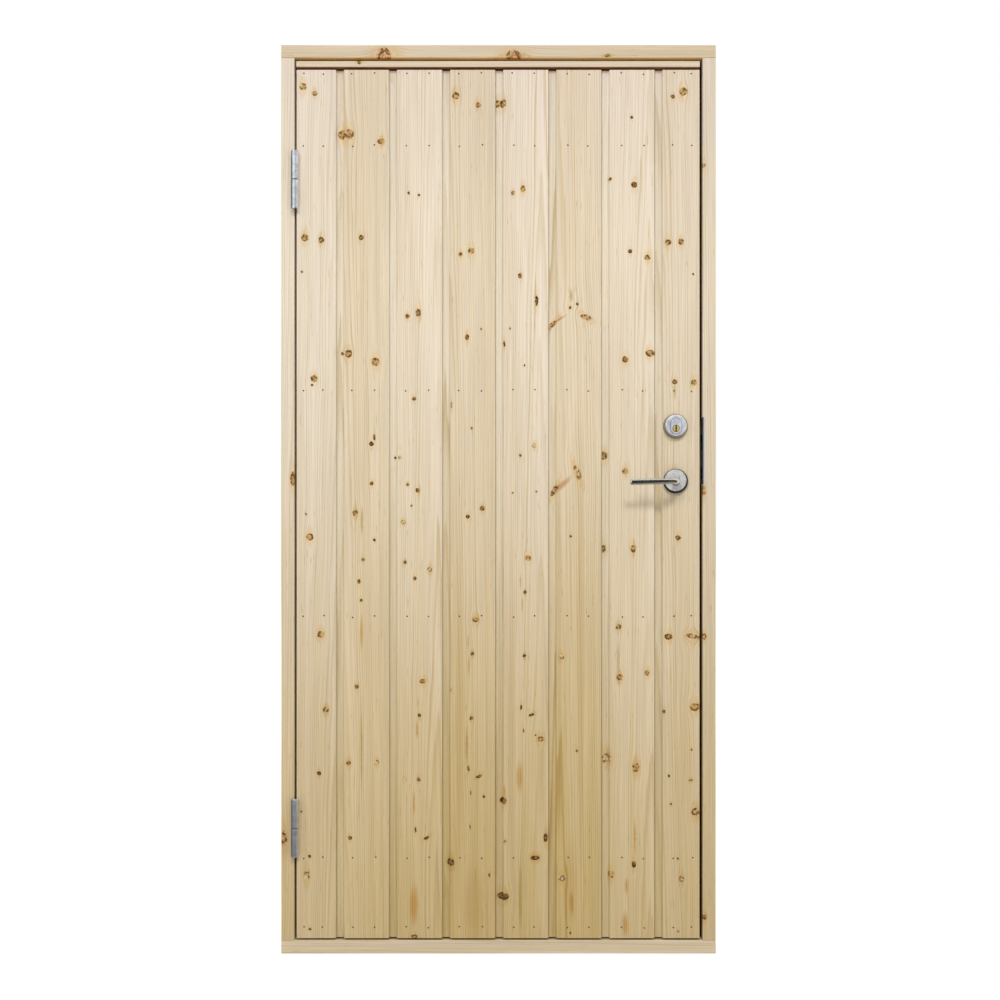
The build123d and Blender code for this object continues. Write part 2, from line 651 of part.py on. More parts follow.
def all_pieces():
    """Every piece by its name."""
    pieces = {
        "head": head(),
        "sill": sill(),
        "hinge_jamb": hinge_jamb(),
        "lock_jamb": lock_jamb(),
        "strike_plate": strike_plate(),
        "hinge_stile": hinge_stile(),
        "lock_stile": lock_stile(),
        "top_rail": rail(LEAF_TOP - END_RAIL_HEIGHT, LEAF_TOP),
        "bottom_rail": rail(LEAF_BOTTOM, LEAF_BOTTOM + END_RAIL_HEIGHT),
        "top_strip": top_strip(),
        "cylinder_ring": cylinder_ring(),
        "cylinder_core": cylinder_core(),
        "key_plug": key_plug(),
        "outer_rose": outer_rose(),
        "inner_rose": inside(outer_rose()),
        "outer_lever": outer_lever(),
        "inner_lever": inside(outer_lever()),
        "spindle": spindle(),
        "turn_rose": turn_rose(),
        "turn_knob": turn_knob(),
        "lock_case": lock_case(),
        "latch_bolt": latch_bolt(),
        "dead_bolt": dead_bolt(),
    }
    for number, height in enumerate(MIDDLE_RAIL_HEIGHTS, 1):
        half = MIDDLE_RAIL_HEIGHT / 2
        pieces[f"middle_rail_{number}"] = rail(height - half, height + half)
    for index in range(BOARD_COUNT):
        pieces[f"board_{index + 1}"] = fitted_board(index)
    for place, height in HINGE_HEIGHTS.items():
        pieces[f"{place}_hinge_frame_half"] = hinge_half(-1, height)
        pieces[f"{place}_hinge_leaf_half"] = hinge_half(1, height)
        pieces[f"{place}_hinge_pin"] = hinge_pin(height)
    return pieces


os.makedirs("parts", exist_ok=True)
for name, piece in all_pieces().items():
    export_step(piece, f"parts/{name}.step")
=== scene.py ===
import math
import random
from collections import namedtuple

import bmesh
import bpy
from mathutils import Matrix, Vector


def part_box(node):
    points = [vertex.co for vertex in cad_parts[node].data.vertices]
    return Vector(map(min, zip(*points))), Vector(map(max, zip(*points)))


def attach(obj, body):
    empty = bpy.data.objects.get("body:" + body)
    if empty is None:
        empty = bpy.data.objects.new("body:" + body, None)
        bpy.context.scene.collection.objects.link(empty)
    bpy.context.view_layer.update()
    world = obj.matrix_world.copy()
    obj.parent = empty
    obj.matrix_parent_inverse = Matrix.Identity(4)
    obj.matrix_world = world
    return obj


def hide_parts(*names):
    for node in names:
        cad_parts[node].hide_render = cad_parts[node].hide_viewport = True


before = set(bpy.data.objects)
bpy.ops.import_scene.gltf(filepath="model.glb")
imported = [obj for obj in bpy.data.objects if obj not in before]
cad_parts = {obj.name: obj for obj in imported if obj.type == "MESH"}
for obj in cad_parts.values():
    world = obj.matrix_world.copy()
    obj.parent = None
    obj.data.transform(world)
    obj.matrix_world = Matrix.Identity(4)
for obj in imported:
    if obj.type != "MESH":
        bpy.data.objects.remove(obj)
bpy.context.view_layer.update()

# Looks of a boarded shed door in its frame. Metres; X right, Y inwards, Z up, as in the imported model.
MM = 0.001
QUARTER_TURN = math.pi / 2
TO_RIGHT = Vector((1, 0, 0))
UP = Vector((0, 0, 1))

# The photo is read in pixels of a 1000 x 1000 image; these place its pixels on the front of the frame
PHOTO_SIDE = 1000
DOOR_MIDDLE_PX = 498.5
SILL_FOOT_PX = 953.5
METRES_PER_PX = 2.278 * MM

# Camera, straight in front at half the height of the frame
CAMERA_DISTANCE = 3.3
SENSOR_WIDTH = 36.0

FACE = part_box("hinge_jamb")[0].y
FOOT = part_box("sill")[0].z
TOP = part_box("head")[1].z

# Wood tones (linear): pale cream at the top of the door, straw yellow at its foot; the straw is also
# darker, partly painted shade towards the foot
CREAM = (0.758, 0.653, 0.509)
STRAW = (0.52, 0.38, 0.162)
# Painted shade that darkens the top of the door a little
TOP_PAINTED_SHADE = (0.94, 0.94, 0.98)
EARLY_SHADE = (1.05, 1.06, 1.09)
LATE_SHADE = (0.84, 0.755, 0.58)
RESIN_SHADE = (0.81, 0.57, 0.24)
VEIN_SHADE = (0.67, 0.57, 0.28)
BAND_SHADE = (0.90, 0.84, 0.72)
SPIKE_SHADE = (0.70, 0.46, 0.28)
HALO_SHADE = (0.95, 0.81, 0.56)
# Painted light: the sunk floors of the channels cooler and their flanks paler, against the bounce light and
# shade there
CHANNEL_PAINTED_COOLING = (0.97, 1.00, 1.04)
FLANK_PAINTED_LIGHT = (1.27, 1.42, 1.60)
# Painted shade deep in the gap beside the lock
LOCK_GAP_PAINTED_SHADE = (0.10, 0.09, 0.08)
# Painted bounce light: the underside of the head warmer and lighter
HEAD_UNDERSIDE_PAINTED_BOUNCE = (1.42, 1.16, 0.62)
# Painted shade: the groove above the boards darkened red-brown
GROOVE_PAINTED_SHADE = (0.55, 0.24, 0.13)
PAINTED_UNDERSIDE_LIGHT = {"head": HEAD_UNDERSIDE_PAINTED_BOUNCE, "top_strip": GROOVE_PAINTED_SHADE}
STREAK_SHADES = {"band": BAND_SHADE, "vein": VEIN_SHADE, "resin": RESIN_SHADE, "spike": SPIKE_SHADE}

# Knots: colour in the middle, colour at the rim
KNOT_TONES = {
    "pale": ((0.77, 0.55, 0.275), (0.18, 0.095, 0.030)),
    "orange": ((0.64, 0.385, 0.135), (0.11, 0.046, 0.008)),
    "brown": ((0.64, 0.40, 0.15), (0.080, 0.037, 0.006)),
    "umber": ((0.42, 0.235, 0.080), (0.040, 0.017, 0.003)),
    "red": ((0.67, 0.40, 0.185), (0.12, 0.046, 0.012)),
    "dark": ((0.33, 0.174, 0.052), (0.016, 0.007, 0.001)),
}

# A knot or streak as it shows in the photo: middle, half width and half height in pixels.
# Lean is how far its upper end leans to the right for each step up.
Mark = namedtuple("Mark", "kind across down wide high lean")


def marks_of(kind):
    """Function that makes marks of one kind, round ones where no height is given."""
    def mark(across, down, wide, high=None, lean=0.0):
        return Mark(kind, across, down, wide, high or wide, lean)
    return mark


pale, orange, brown, umber, red, dark = map(marks_of, KNOT_TONES)
band, vein, resin, spike = map(marks_of, STREAK_SHADES)

# The marks of each board, counted from the left, and of the frame
BOARD_MARKS = {
    1: [
        pale(303, 86.5, 3.5, 3.9), orange(314.7, 93.4, 2.6, 2.4), brown(304.9, 237.6, 3.5),
        brown(321.3, 239.8, 3), dark(302, 272, 1), brown(314.1, 378.6, 3.3), dark(312, 385, 1.5, 1.2),
        dark(306, 514, 1), brown(309.8, 537, 3.6), brown(320.8, 634.4, 3.7, 3.3),
        brown(325.9, 709.8, 3, 2.5), dark(319.1, 773.4, 2), dark(301.4, 811.6, 1),
        dark(309.4, 856.2, 1.5), pale(307, 875.3, 3, 4.5), dark(309.8, 929.1, 1.3),
    ],
    2: [
        orange(342, 134, 4.2, 4.5), red(349.5, 134, 4.5, 4.8), orange(381, 141.5, 3.7, 2.8),
        umber(361.2, 237.6, 2.5), brown(348.5, 353.7, 3.7), umber(342.2, 353.4, 1.7),
        brown(375.4, 361.7, 4), dark(371.3, 443.9, 2.3), dark(374.4, 437.2, 1, 3),
        umber(371.7, 483.4, 2), brown(355.2, 513.1, 2.7), dark(374.5, 540, 1.5), umber(363, 559.5, 1.6),
        dark(359, 581.5, 1.7, 2.2), umber(361.4, 600.4, 1.6), dark(356.7, 686.7, 2.1),
        umber(348.5, 763, 2.2), pale(376.5, 762.3, 2.3), dark(349.9, 837.8, 1.9),
        vein(362, 521, 1.8, 20), resin(361.6, 632, 2.2, 24), vein(361.5, 751, 1.5, 60),
    ],
    3: [
        dark(408.6, 193, 1.2), dark(419, 195, 1.2), umber(407.4, 316.3, 2.2),
        brown(418.2, 312.9, 2.7, 4), umber(414, 398.7, 2), dark(394.9, 457.9, 1.2),
        pale(399.8, 457.7, 1.5, 1.2), dark(407.6, 484.5, 1.5), umber(417.6, 490.4, 2.2),
        dark(411.5, 505.8, 1), pale(403.2, 522, 2.3, 2), umber(404.9, 562.2, 1.6),
        pale(429.7, 569.6, 2.3), dark(414.9, 578.3, 1.6, 2), orange(422.6, 681.2, 3.3, 2.3),
        dark(419.5, 715.4, 1.8), pale(404.8, 778.8, 1.5), dark(418.6, 779.5, 1.8),
        dark(415.5, 829.7, 0.9, 2.7), dark(426.6, 838, 2.5, 1.7, 0.9), brown(414.3, 936.6, 3.5, 2),
        resin(417.2, 729.5, 2.0, 13), resin(413.9, 804.5, 1.5, 18), resin(413.9, 905, 6, 28),
        vein(418, 703, 0.9, 9),
    ],
    4: [
        brown(456, 95.7, 3.5), orange(478.3, 105, 2.5, 2.7), umber(460.3, 254.4, 2),
        brown(471, 250.8, 3), umber(467.2, 337.1, 2, 2.8), dark(481.1, 329, 1), pale(451.4, 405, 1, 3),
        dark(471.7, 428, 1), umber(482.4, 508.4, 2.5), dark(467.7, 516.6, 2),
        orange(475.7, 619.6, 3.3, 2.7), dark(472.4, 653.7, 1.8), pale(451.4, 690.4, 1.5),
        dark(471.5, 718.1, 1.8), dark(468.4, 768.7, 1.2, 3), dark(478.8, 776.4, 2.5, 1.6, 0.9),
        dark(470.8, 792.6, 0.7, 2), dark(483.8, 796.6, 1.2), dark(470, 827, 0.7, 2.2),
        dark(450.7, 862.5, 3.5), dark(489.5, 875.3, 1, 2), resin(468.8, 666, 1.5, 13),
        vein(468, 642, 0.9, 10), vein(466.6, 745, 1.7, 24), band(474, 905, 15, 56),
        band(459, 700, 4.5, 240),
    ],
    5: [
        brown(497, 103, 3, 3.8), brown(503, 103, 3.2, 3.8), orange(513, 193, 2),
        orange(523, 189, 2.4, 3.4), umber(519.9, 275.8, 2, 2.5), dark(536.6, 300.9, 1.6, 5),
        dark(510.3, 328.6, 1), dark(504.4, 344, 1, 2.5), dark(524.6, 365.4, 1), dark(520.4, 455.3, 1.4),
        pale(534.2, 445.7, 2.2), dark(512.6, 493, 0.9), dark(536.2, 491.7, 0.9),
        orange(528.1, 557.9, 3, 2.7), dark(525, 592.2, 1.6), dark(524.3, 655.9, 1.6),
        dark(521.1, 707.2, 1, 2.6), dark(531.5, 714.8, 2.4, 1.5, 0.9), dark(523.6, 730.5, 0.7, 2),
        dark(535.7, 735, 0.9), brown(540.7, 739.2, 3.6, 2.6), dark(503.3, 800.9, 3.3),
        pale(505, 841.7, 1.5), dark(545.6, 837.6, 2, 4.5), dark(535.2, 857.8, 4.5, 2.2),
        dark(503, 896.6, 5.5, 3.7), vein(520.4, 581.5, 0.9, 10), resin(522.2, 605, 1.5, 11),
        resin(519.5, 777, 4.5, 20), resin(504.4, 791, 1.8, 9), vein(520.2, 897, 2.4, 46),
        band(511.5, 700, 5, 240), vein(535.5, 296, 0.9, 32),
    ],
    6: [
        dark(570.2, 307.5, 1.4), dark(577.1, 304, 1.3), red(551.5, 325, 3.0, 4.6, 0.8),
        spike(558.5, 320, 3.4, 7, 1.4), red(586, 317.1, 4.8, 2.8, -0.9),
        red(554.6, 490.5, 2.6, 5.5, 0.45), spike(562, 485, 6.0, 12, 0.95),
        pale(577.1, 472.5, 3.0, 6.8, -0.35), dark(570.8, 536.4, 1.1), pale(561.3, 656.8, 2.7),
        dark(576.7, 750.7, 1.2), pale(562, 878, 3.5, 3), dark(570.2, 932.9, 1), vein(571, 296, 2.2, 10),
        band(559, 640, 4, 320), band(581, 640, 4.5, 320), resin(571.6, 903, 3, 16),
        band(570, 885, 10, 64),
    ],
    7: [
        dark(631.5, 117.4, 1.5), dark(610.4, 179, 1.5), dark(634.3, 184.7, 3), umber(630.2, 251.3, 2),
        brown(647.4, 257.5, 2.8), orange(625.1, 359.5, 3, 3.2), brown(650.2, 353.2, 4.5, 3.3),
        brown(604.1, 455.6, 3.3, 4), brown(625.1, 471.1, 3), brown(603.4, 548.7, 2.8, 3.5),
        brown(633, 548.7, 2.7, 3.7), brown(618.6, 626.9, 2.7), brown(619.5, 677.2, 3.2),
        brown(647.2, 673, 2.7), pale(606.1, 758.9, 5, 4.5), orange(636, 767.6, 3.7, 4.5),
        orange(611.3, 874.6, 2.7, 3.5), dark(634, 864.4, 2.2, 3), vein(618, 658, 2, 22),
        resin(634.7, 838, 1.4, 26), resin(626.6, 886, 2.8, 11), resin(625, 925, 4.5, 17),
    ],
    8: [
        umber(672.9, 96.6, 2), brown(683.3, 91.4, 4), brown(668, 242.4, 3), brown(681, 241.7, 3),
        dark(693.2, 274.2, 1), umber(674.7, 381.8, 2.5), brown(693.9, 382.8, 3),
        umber(678.1, 537.8, 2.5), brown(668.3, 636.7, 4, 3), pale(692.7, 636.5, 7, 3.3),
        dark(664.1, 711.6, 1.4, 2), orange(695, 707.2, 5, 3.7), dark(691.6, 749.7, 1),
        dark(668.9, 775.8, 1.2), umber(690.9, 780.2, 2.2, 1.2), dark(671, 804, 1.2),
        brown(695.7, 812, 4), dark(677.9, 858.6, 1.2), pale(681.3, 878.8, 2.5, 3.3),
        dark(677.9, 931.3, 1), vein(674.7, 392, 1.8, 10),
    ],
}
FRAME_MARKS = {
    "head": [red(383.5, 57, 7.0, 9, 0.15), red(513.5, 57, 7.2, 7), umber(607.6, 55.5, 2.5, 1.6)],
    "top_strip": [umber(359.2, 63, 2)],
    "lock_jamb": [
        pale(703.4, 165.5, 2, 3), orange(703.6, 490.5, 2.2, 5), orange(703.9, 636.5, 2.5, 3),
        umber(704.2, 917, 2.5),
    ],
    "hinge_jamb": [red(283.4, 838, 4, 7), orange(292.7, 478.7, 2.5, 7)],
}

# One plank of wood: its node, the axis its grain runs along, how far beside and behind it the pith of its
# log lay, its ring width, how yellow it is at the top and at the foot, how strong its rings are, the seed
# of its noises, and how much lighter it is than the common tones
PLANK_FIELDS = "node grain beside behind ring top_warmth foot_warmth contrast seed tone"
Plank = namedtuple("Plank", PLANK_FIELDS, defaults=(1.0,))

BOARD_PLANKS = [
    Plank("board_1", "Z", 0.048, 0.075, 0.0026, 0.00, 0.77, 0.80, 1, 1.00),
    Plank("board_2", "Z", -0.046, 0.070, 0.0028, 0.27, 0.84, 0.95, 2, 1.05),
    Plank("board_3", "Z", 0.055, 0.090, 0.0026, 0.11, 0.88, 0.85, 3, 1.04),
    Plank("board_4", "Z", -0.050, 0.070, 0.0028, 0.27, 0.97, 0.95, 4, 1.04),
    Plank("board_5", "Z", 0.044, 0.060, 0.0030, 0.08, 0.91, 1.00, 5, 1.03),
    Plank("board_6", "Z", -0.040, 0.065, 0.0036, 0.29, 1.00, 1.10, 6, 1.05),
    Plank("board_7", "Z", 0.052, 0.080, 0.0026, 0.12, 0.79, 0.85, 7, 1.04),
    Plank("board_8", "Z", -0.045, 0.085, 0.0028, 0.22, 0.79, 0.90, 8, 1.02),
]
OTHER_PLANKS = [
    Plank("top_strip", "X", 0.030, 0.060, 0.0026, 0.30, 0.30, 0.80, 11),
    Plank("head", "X", 0.045, 0.050, 0.0028, 0.44, 0.44, 0.80, 12),
    Plank("sill", "X", -0.040, 0.070, 0.0028, 0.42, 0.42, 0.70, 13, 0.97),
    Plank("hinge_jamb", "Z", 0.030, 0.070, 0.0026, 0.08, 0.81, 0.70, 14),
    Plank("lock_jamb", "Z", -0.035, 0.060, 0.0026, 0.14, 0.77, 0.75, 15, 0.98),
    Plank("hinge_stile", "Z", 0.040, -0.060, 0.0028, 0.20, 0.60, 0.80, 16),
    Plank("lock_stile", "Z", -0.020, -0.050, 0.0030, 0.25, 0.65, 0.80, 17),
    Plank("top_rail", "X", 0.050, -0.070, 0.0030, 0.25, 0.25, 0.85, 18),
    Plank("bottom_rail", "X", -0.030, -0.060, 0.0032, 0.60, 0.60, 0.85, 19),
    Plank("middle_rail_1", "X", 0.012, -0.050, 0.0030, 0.50, 0.50, 0.85, 20),
    Plank("middle_rail_2", "X", -0.015, -0.055, 0.0028, 0.35, 0.35, 0.85, 21),
]

# The boards grow yellower and darker from this height down, the darkening partly painted shade, and from
# there up a painted shade makes them a little darker and greyer
WARMTH_TOP = TOP * 0.75

# A noise: how often it varies across, into and along the grain, how fine it is and how rough. A span is
# the part of a noise between no effect and the full one
Noise = namedtuple("Noise", "stretch detail roughness", defaults=(0.5,))

# Growth rings: how uneven they are, and where in each ring the late wood starts and is darkest
RING_UNEVENNESS = 0.9
RING_NOISE = Noise((55.0, 55.0, 1.1), 3.0)
LATE_WOOD_START = 0.40
LATE_WOOD_PEAK = 0.94
FAINTEST_RING = 0.25
GRAIN_WANDER = 6 * MM
WANDER_NOISE = Noise((4.0, 4.0, 1.6), 1.0)
LOG_TAPER = 7 * MM
SEED_STEP = (5.3, 2.9, 7.7)

# Fibres, clouding and resin ducts
FIBRE_NOISE = Noise((360.0, 360.0, 4.5), 4.0, 0.65)
FIBRE_SPAN = (0.25, 0.75)
FIBRE_TONES = (0.89, 1.08)
CLOUD_NOISE = Noise((26.0, 26.0, 1.4), 2.0)
CLOUD_SPAN = (0.3, 0.7)
CLOUD_WARMTH = (-0.07, 0.07)
DUCT_NOISE = Noise((300.0, 300.0, 26.0), 1.0)
DUCT_SPAN = (0.68, 0.78)
DUCT_STRENGTH = 0.5

# Surface of the planed wood
WOOD_SPECULAR = 0.2
WOOD_ROUGHNESS = (0.66, 0.54)
KNOT_POLISH = 0.06
LATE_RELIEF = 0.5
FIBRE_RELIEF = 0.8
WOOD_BUMP = (0.25, 0.25 * MM)

# Knots and streaks; edges and reaches are in radii of the mark
KNOT_BEND = 0.85
KNOT_FLOW_LENGTH = 2.0
KNOT_WARP = 2.2 * MM
KNOT_NOISE = Noise((170.0, 170.0, 170.0), 2.0)
KNOT_EDGE = (0.90, 1.15)
KNOT_RIM = (-0.30, 0.75)
KNOT_RING_TURN = 15.0
KNOT_RING_WARP = 9.0
KNOT_RING_STRENGTH = 0.24
RIM_PATCH_SPAN = (0.38, 0.58)
RIM_PATCH_LEAST = 0.10
HALO_REACH = (0.8, 1.9)
HALO_STRENGTH = 0.6
STREAK_EDGE = (0.2, 1.0)
STREAK_BREAK_SPAN = (0.25, 0.65)
STREAK_LEAST = 0.35
# Distance, in radii, where no mark is near
NO_KNOT = 99.0

# The milled flanks of the channels between the boards, from and to these depths below the face; painted
# light makes them paler against the shade they lie in
FLANK_TOP = 0.6 * MM
FLANK_FOOT = 8.6 * MM
FLANK_TOP_EDGE = 0.5 * MM
FLANK_FOOT_EDGE = 1 * MM

# Gap between the leaf and the rebate of the frame at the hinges
HINGE_GAP = 5 * MM

# Painted shade: the rebate beside the lock is darkened between these depths below the face
PAINTED_GAP_SHADE_START = 10 * MM
PAINTED_GAP_SHADE_END = 32 * MM
GAP_BACK_EDGE = (1.0 * MM, 2.0 * MM)

# A knot in the thick frame reaches from the face to between these depths
KNOT_DEPTH = (10 * MM, 30 * MM)

# A tone on one face of a piece ends between these depths below that face
FACE_SKIN = (0.5 * MM, 1.5 * MM)

# Upward part of the normal of a face that looks straight down, and of one that no longer counts as such
DOWNWARD = (-0.9, -0.5)


def photo_place(across, down):
    """Where a photo pixel lies on the front of the frame: how far right of the middle, and how high."""
    return (across - DOOR_MIDDLE_PX) * METRES_PER_PX, (SILL_FOOT_PX - down) * METRES_PER_PX


# Places of the colours among all the sockets of a mix node
MIX_COLOURS_IN = (6, 7)
MIX_COLOUR_OUT = 2


class Tree:
    """Short way to write the nodes of a material."""

    def __init__(self, tree):
        self.nodes = tree.nodes
        self.links = tree.links

    def feed(self, socket, value):
        if isinstance(value, bpy.types.NodeSocket):
            self.links.new(value, socket)
        else:
            socket.default_value = value

    def node(self, kind, inputs=(), **settings):
        made = self.nodes.new(kind)
        for name, value in settings.items():
            setattr(made, name, value)
        for key, value in dict(inputs).items():
            self.feed(made.inputs[key], value)
        return made

    def math(self, operation, *values):
        return self.node("ShaderNodeMath", enumerate(values), operation=operation).outputs[0]

    def times(self, first, second):
        return self.math("MULTIPLY", first, second)

    def plus(self, first, second):
        return self.math("ADD", first, second)

    def minus(self, first, second):
        return self.math("SUBTRACT", first, second)

    def square_sum(self, first, second):
        return self.plus(self.times(first, first), self.times(second, second))

    def smooth(self, value, low, high, start=0.0, end=1.0):
        """Smooth step from start to end as the value goes from low to high."""
        inputs = {"Value": value, "From Min": low, "From Max": high, "To Min": start, "To Max": end}
        return self.node("ShaderNodeMapRange", inputs, interpolation_type="SMOOTHSTEP").outputs["Result"]

    def fade(self, value, low, high):
        """Smooth step from 1 down to 0 as the value goes from low to high."""
        return self.smooth(value, low, high, 1.0, 0.0)

    def place(self):
        """The point itself, in the rest frame of the part."""
        return self.node("ShaderNodeTexCoord").outputs["Object"]

    def axes(self, point):
        return self.node("ShaderNodeSeparateXYZ", {0: point}).outputs

    def vector(self, operation, first, second):
        return self.node("ShaderNodeVectorMath", {0: first, 1: second}, operation=operation).outputs[0]

    def log_point(self, across, depth, along, offset):
        """Point with its last axis along the grain, moved by an offset so that no two planks are alike."""
        point = self.node("ShaderNodeCombineXYZ", {0: across, 1: depth, 2: along}).outputs[0]
        return self.vector("ADD", point, offset)

    def noise_outputs(self, point, kind):
        inputs = {"Scale": 1.0, "Detail": kind.detail, "Roughness": kind.roughness}
        inputs["Vector"] = self.vector("MULTIPLY", point, kind.stretch)
        return self.node("ShaderNodeTexNoise", inputs).outputs

    def noise(self, point, kind):
        return self.noise_outputs(point, kind)[0]

    def noises(self, point, kind):
        """Three noises that don't depend on each other."""
        return self.channels(self.noise_outputs(point, kind)["Color"])

    def channels(self, colour):
        return self.node("ShaderNodeSeparateColor", {0: colour}).outputs

    def nudge(self, value, noise, reach):
        """Value moved to and fro by a noise, as far as the reach."""
        return self.plus(value, self.times(self.minus(noise, 0.5), reach * 2))

    def mix(self, share, first, second, blend="MIX"):
        made = self.node("ShaderNodeMix", data_type="RGBA", blend_type=blend)
        self.feed(made.inputs[0], share)
        for index, value in zip(MIX_COLOURS_IN, (first, second)):
            colour = value if isinstance(value, bpy.types.NodeSocket) else (*value, 1.0)
            self.feed(made.inputs[index], colour)
        return made.outputs[MIX_COLOUR_OUT]

    def tint(self, share, colour, shade):
        """Colour multiplied by a shade, as much as the share."""
        return self.mix(share, colour, shade, "MULTIPLY")

    def grey(self, value):
        """A colour with the same value in each channel."""
        return self.node("ShaderNodeCombineColor", {0: value, 1: value, 2: value}).outputs[0]


def empty_material(name):
    """Material with an empty tree, and that tree."""
    material = bpy.data.materials.new(name)
    material.use_nodes = True
    material.node_tree.nodes.clear()
    return material, Tree(material.node_tree)


def new_material(name, **constants):
    """Material with a plain shader: the material, its tree and its shader."""
    material, tree = empty_material(name)
    shader = tree.node("ShaderNodeBsdfPrincipled")
    for socket, value in constants.items():
        shader.inputs[socket.replace("_", " ")].default_value = value
    tree.node("ShaderNodeOutputMaterial", {"Surface": shader.outputs[0]})
    return material, tree, shader


def bump(tree, shader, height, strength, distance):
    """Relief of a surface."""
    inputs = {"Height": height, "Strength": strength, "Distance": distance}
    tree.feed(shader.inputs["Normal"], tree.node("ShaderNodeBump", inputs).outputs[0])


KNOT_INPUTS = ("across", "along", "middle_across", "middle_along", "half_width", "half_height", "lean")


def make_knot_field():
    """Node group: distance from a knot's middle in knot radii, the same drawn out along the grain, and how
    far the grain bends aside there."""
    group = bpy.data.node_groups.new("knot_field", "ShaderNodeTree")
    for name in KNOT_INPUTS:
        group.interface.new_socket(name, in_out="INPUT", socket_type="NodeSocketFloat")
    for name in ("distance", "wake", "shift"):
        group.interface.new_socket(name, in_out="OUTPUT", socket_type="NodeSocketFloat")
    tree = Tree(group)
    given = tree.node("NodeGroupInput").outputs
    result = tree.node("NodeGroupOutput").inputs
    rise = tree.minus(given["along"], given["middle_along"])
    aside = tree.minus(given["across"], given["middle_across"])
    aside = tree.minus(aside, tree.times(rise, given["lean"]))
    wide = tree.math("DIVIDE", aside, given["half_width"])
    high = tree.math("DIVIDE", rise, given["half_height"])
    tree.feed(result["distance"], tree.math("SQRT", tree.square_sum(wide, high)))
    flow = tree.math("DIVIDE", high, KNOT_FLOW_LENGTH)
    flow_square = tree.square_sum(wide, flow)
    tree.feed(result["wake"], tree.math("SQRT", flow_square))
    share = tree.math("DIVIDE", -KNOT_BEND, tree.math("MAXIMUM", flow_square, 1.0))
    tree.feed(result["shift"], tree.times(aside, share))
    return group


KNOT_FIELD = make_knot_field()


def by_grain(plank, rightward, upward):
    """The one of two values that lies across the grain, then the one along it."""
    return (rightward, upward) if plank.grain == "Z" else (upward, rightward)


def mark_fields(tree, plank, across, along, marks):
    """Distance to the nearest mark of each kind, to the wake of the nearest knot, and the sum of the bends
    that the knots give the grain."""
    nearest = {}
    wake = NO_KNOT
    bend = 0.0
    for mark in marks:
        middle = by_grain(plank, *photo_place(mark.across, mark.down))
        sizes = [size * METRES_PER_PX for size in by_grain(plank, mark.wide, mark.high)]
        inputs = zip(KNOT_INPUTS, (across, along, *middle, *sizes, mark.lean))
        field = tree.node("ShaderNodeGroup", inputs, node_tree=KNOT_FIELD).outputs
        distance = field["distance"]
        if mark.kind in nearest:
            distance = tree.math("MINIMUM", nearest[mark.kind], distance)
        nearest[mark.kind] = distance
        if mark.kind in KNOT_TONES:
            wake = tree.math("MINIMUM", wake, field["wake"])
            bend = tree.plus(bend, field["shift"])
    return nearest, wake, bend


def ring_field(tree, plank, point, across, depth, along):
    """Place within the growth ring, from 0 in the pale early wood to 1 in the dark late wood."""
    centre = middle_of(plank.node)
    middle = by_grain(plank, centre.x, centre.z)[0]
    beside = tree.minus(across, middle + plank.beside)
    behind = tree.minus(depth, FACE + plank.behind)
    radius = tree.math("SQRT", tree.square_sum(beside, behind))
    radius = tree.plus(radius, tree.times(along, LOG_TAPER))
    count = tree.math("DIVIDE", radius, plank.ring)
    uneven = tree.noise(point, RING_NOISE)
    count = tree.plus(count, tree.times(uneven, RING_UNEVENNESS * 2))
    place = tree.math("FRACT", count)
    rise = tree.smooth(place, LATE_WOOD_START, LATE_WOOD_PEAK)
    fall = tree.fade(place, LATE_WOOD_PEAK, 1.0)
    late = tree.times(rise, fall)
    year = tree.node("ShaderNodeTexWhiteNoise", {"W": tree.math("FLOOR", count)}, noise_dimensions="1D")
    strength = tree.smooth(year.outputs["Value"], 0.0, 1.0, FAINTEST_RING, 1.0)
    return tree.times(late, strength)


def paint_knots(tree, colour, nearest, wake, patches):
    """Knots with uneven dark rims and growth rings, in the tan wood that closes round them."""
    colour = tree.tint(tree.smooth(wake, *HALO_REACH, HALO_STRENGTH, 0.0), colour, HALO_SHADE)
    crescent = tree.smooth(patches, *RIM_PATCH_SPAN, RIM_PATCH_LEAST, 1.0)
    knots = 0.0
    for kind, tones in KNOT_TONES.items():
        if kind not in nearest:
            continue
        distance = nearest[kind]
        turns = tree.plus(tree.times(distance, KNOT_RING_TURN), tree.times(patches, KNOT_RING_WARP))
        rings = tree.math("SINE", turns)
        rim = tree.times(tree.smooth(distance, *KNOT_RIM), crescent)
        rim = tree.plus(rim, tree.times(rings, KNOT_RING_STRENGTH))
        inside = tree.fade(distance, *KNOT_EDGE)
        colour = tree.mix(inside, colour, tree.mix(rim, *tones))
        knots = tree.math("MAXIMUM", knots, inside)
    return colour, knots


def paint_streaks(tree, colour, nearest, fibre):
    """Resin streaks, brown veins and broad tan bands, broken up along the fibres."""
    broken = tree.smooth(fibre, *STREAK_BREAK_SPAN, STREAK_LEAST, 1.0)
    for kind, shade in STREAK_SHADES.items():
        if kind in nearest:
            inside = tree.fade(nearest[kind], *STREAK_EDGE)
            colour = tree.tint(tree.times(inside, broken), colour, shade)
    return colour


def paint_channel_light(tree, colour, depth):
    """Painted light in the channels between the boards: the sunk floors cooler against their warm bounce
    light, the milled flanks paler against their shade.
    """
    sunk = tree.smooth(depth, FACE + FLANK_TOP, FACE + FLANK_TOP + FLANK_TOP_EDGE)
    colour = tree.tint(sunk, colour, CHANNEL_PAINTED_COOLING)
    foot = FACE + FLANK_FOOT
    above_floor = tree.fade(depth, foot - FLANK_FOOT_EDGE, foot)
    return tree.tint(tree.times(sunk, above_floor), colour, FLANK_PAINTED_LIGHT)


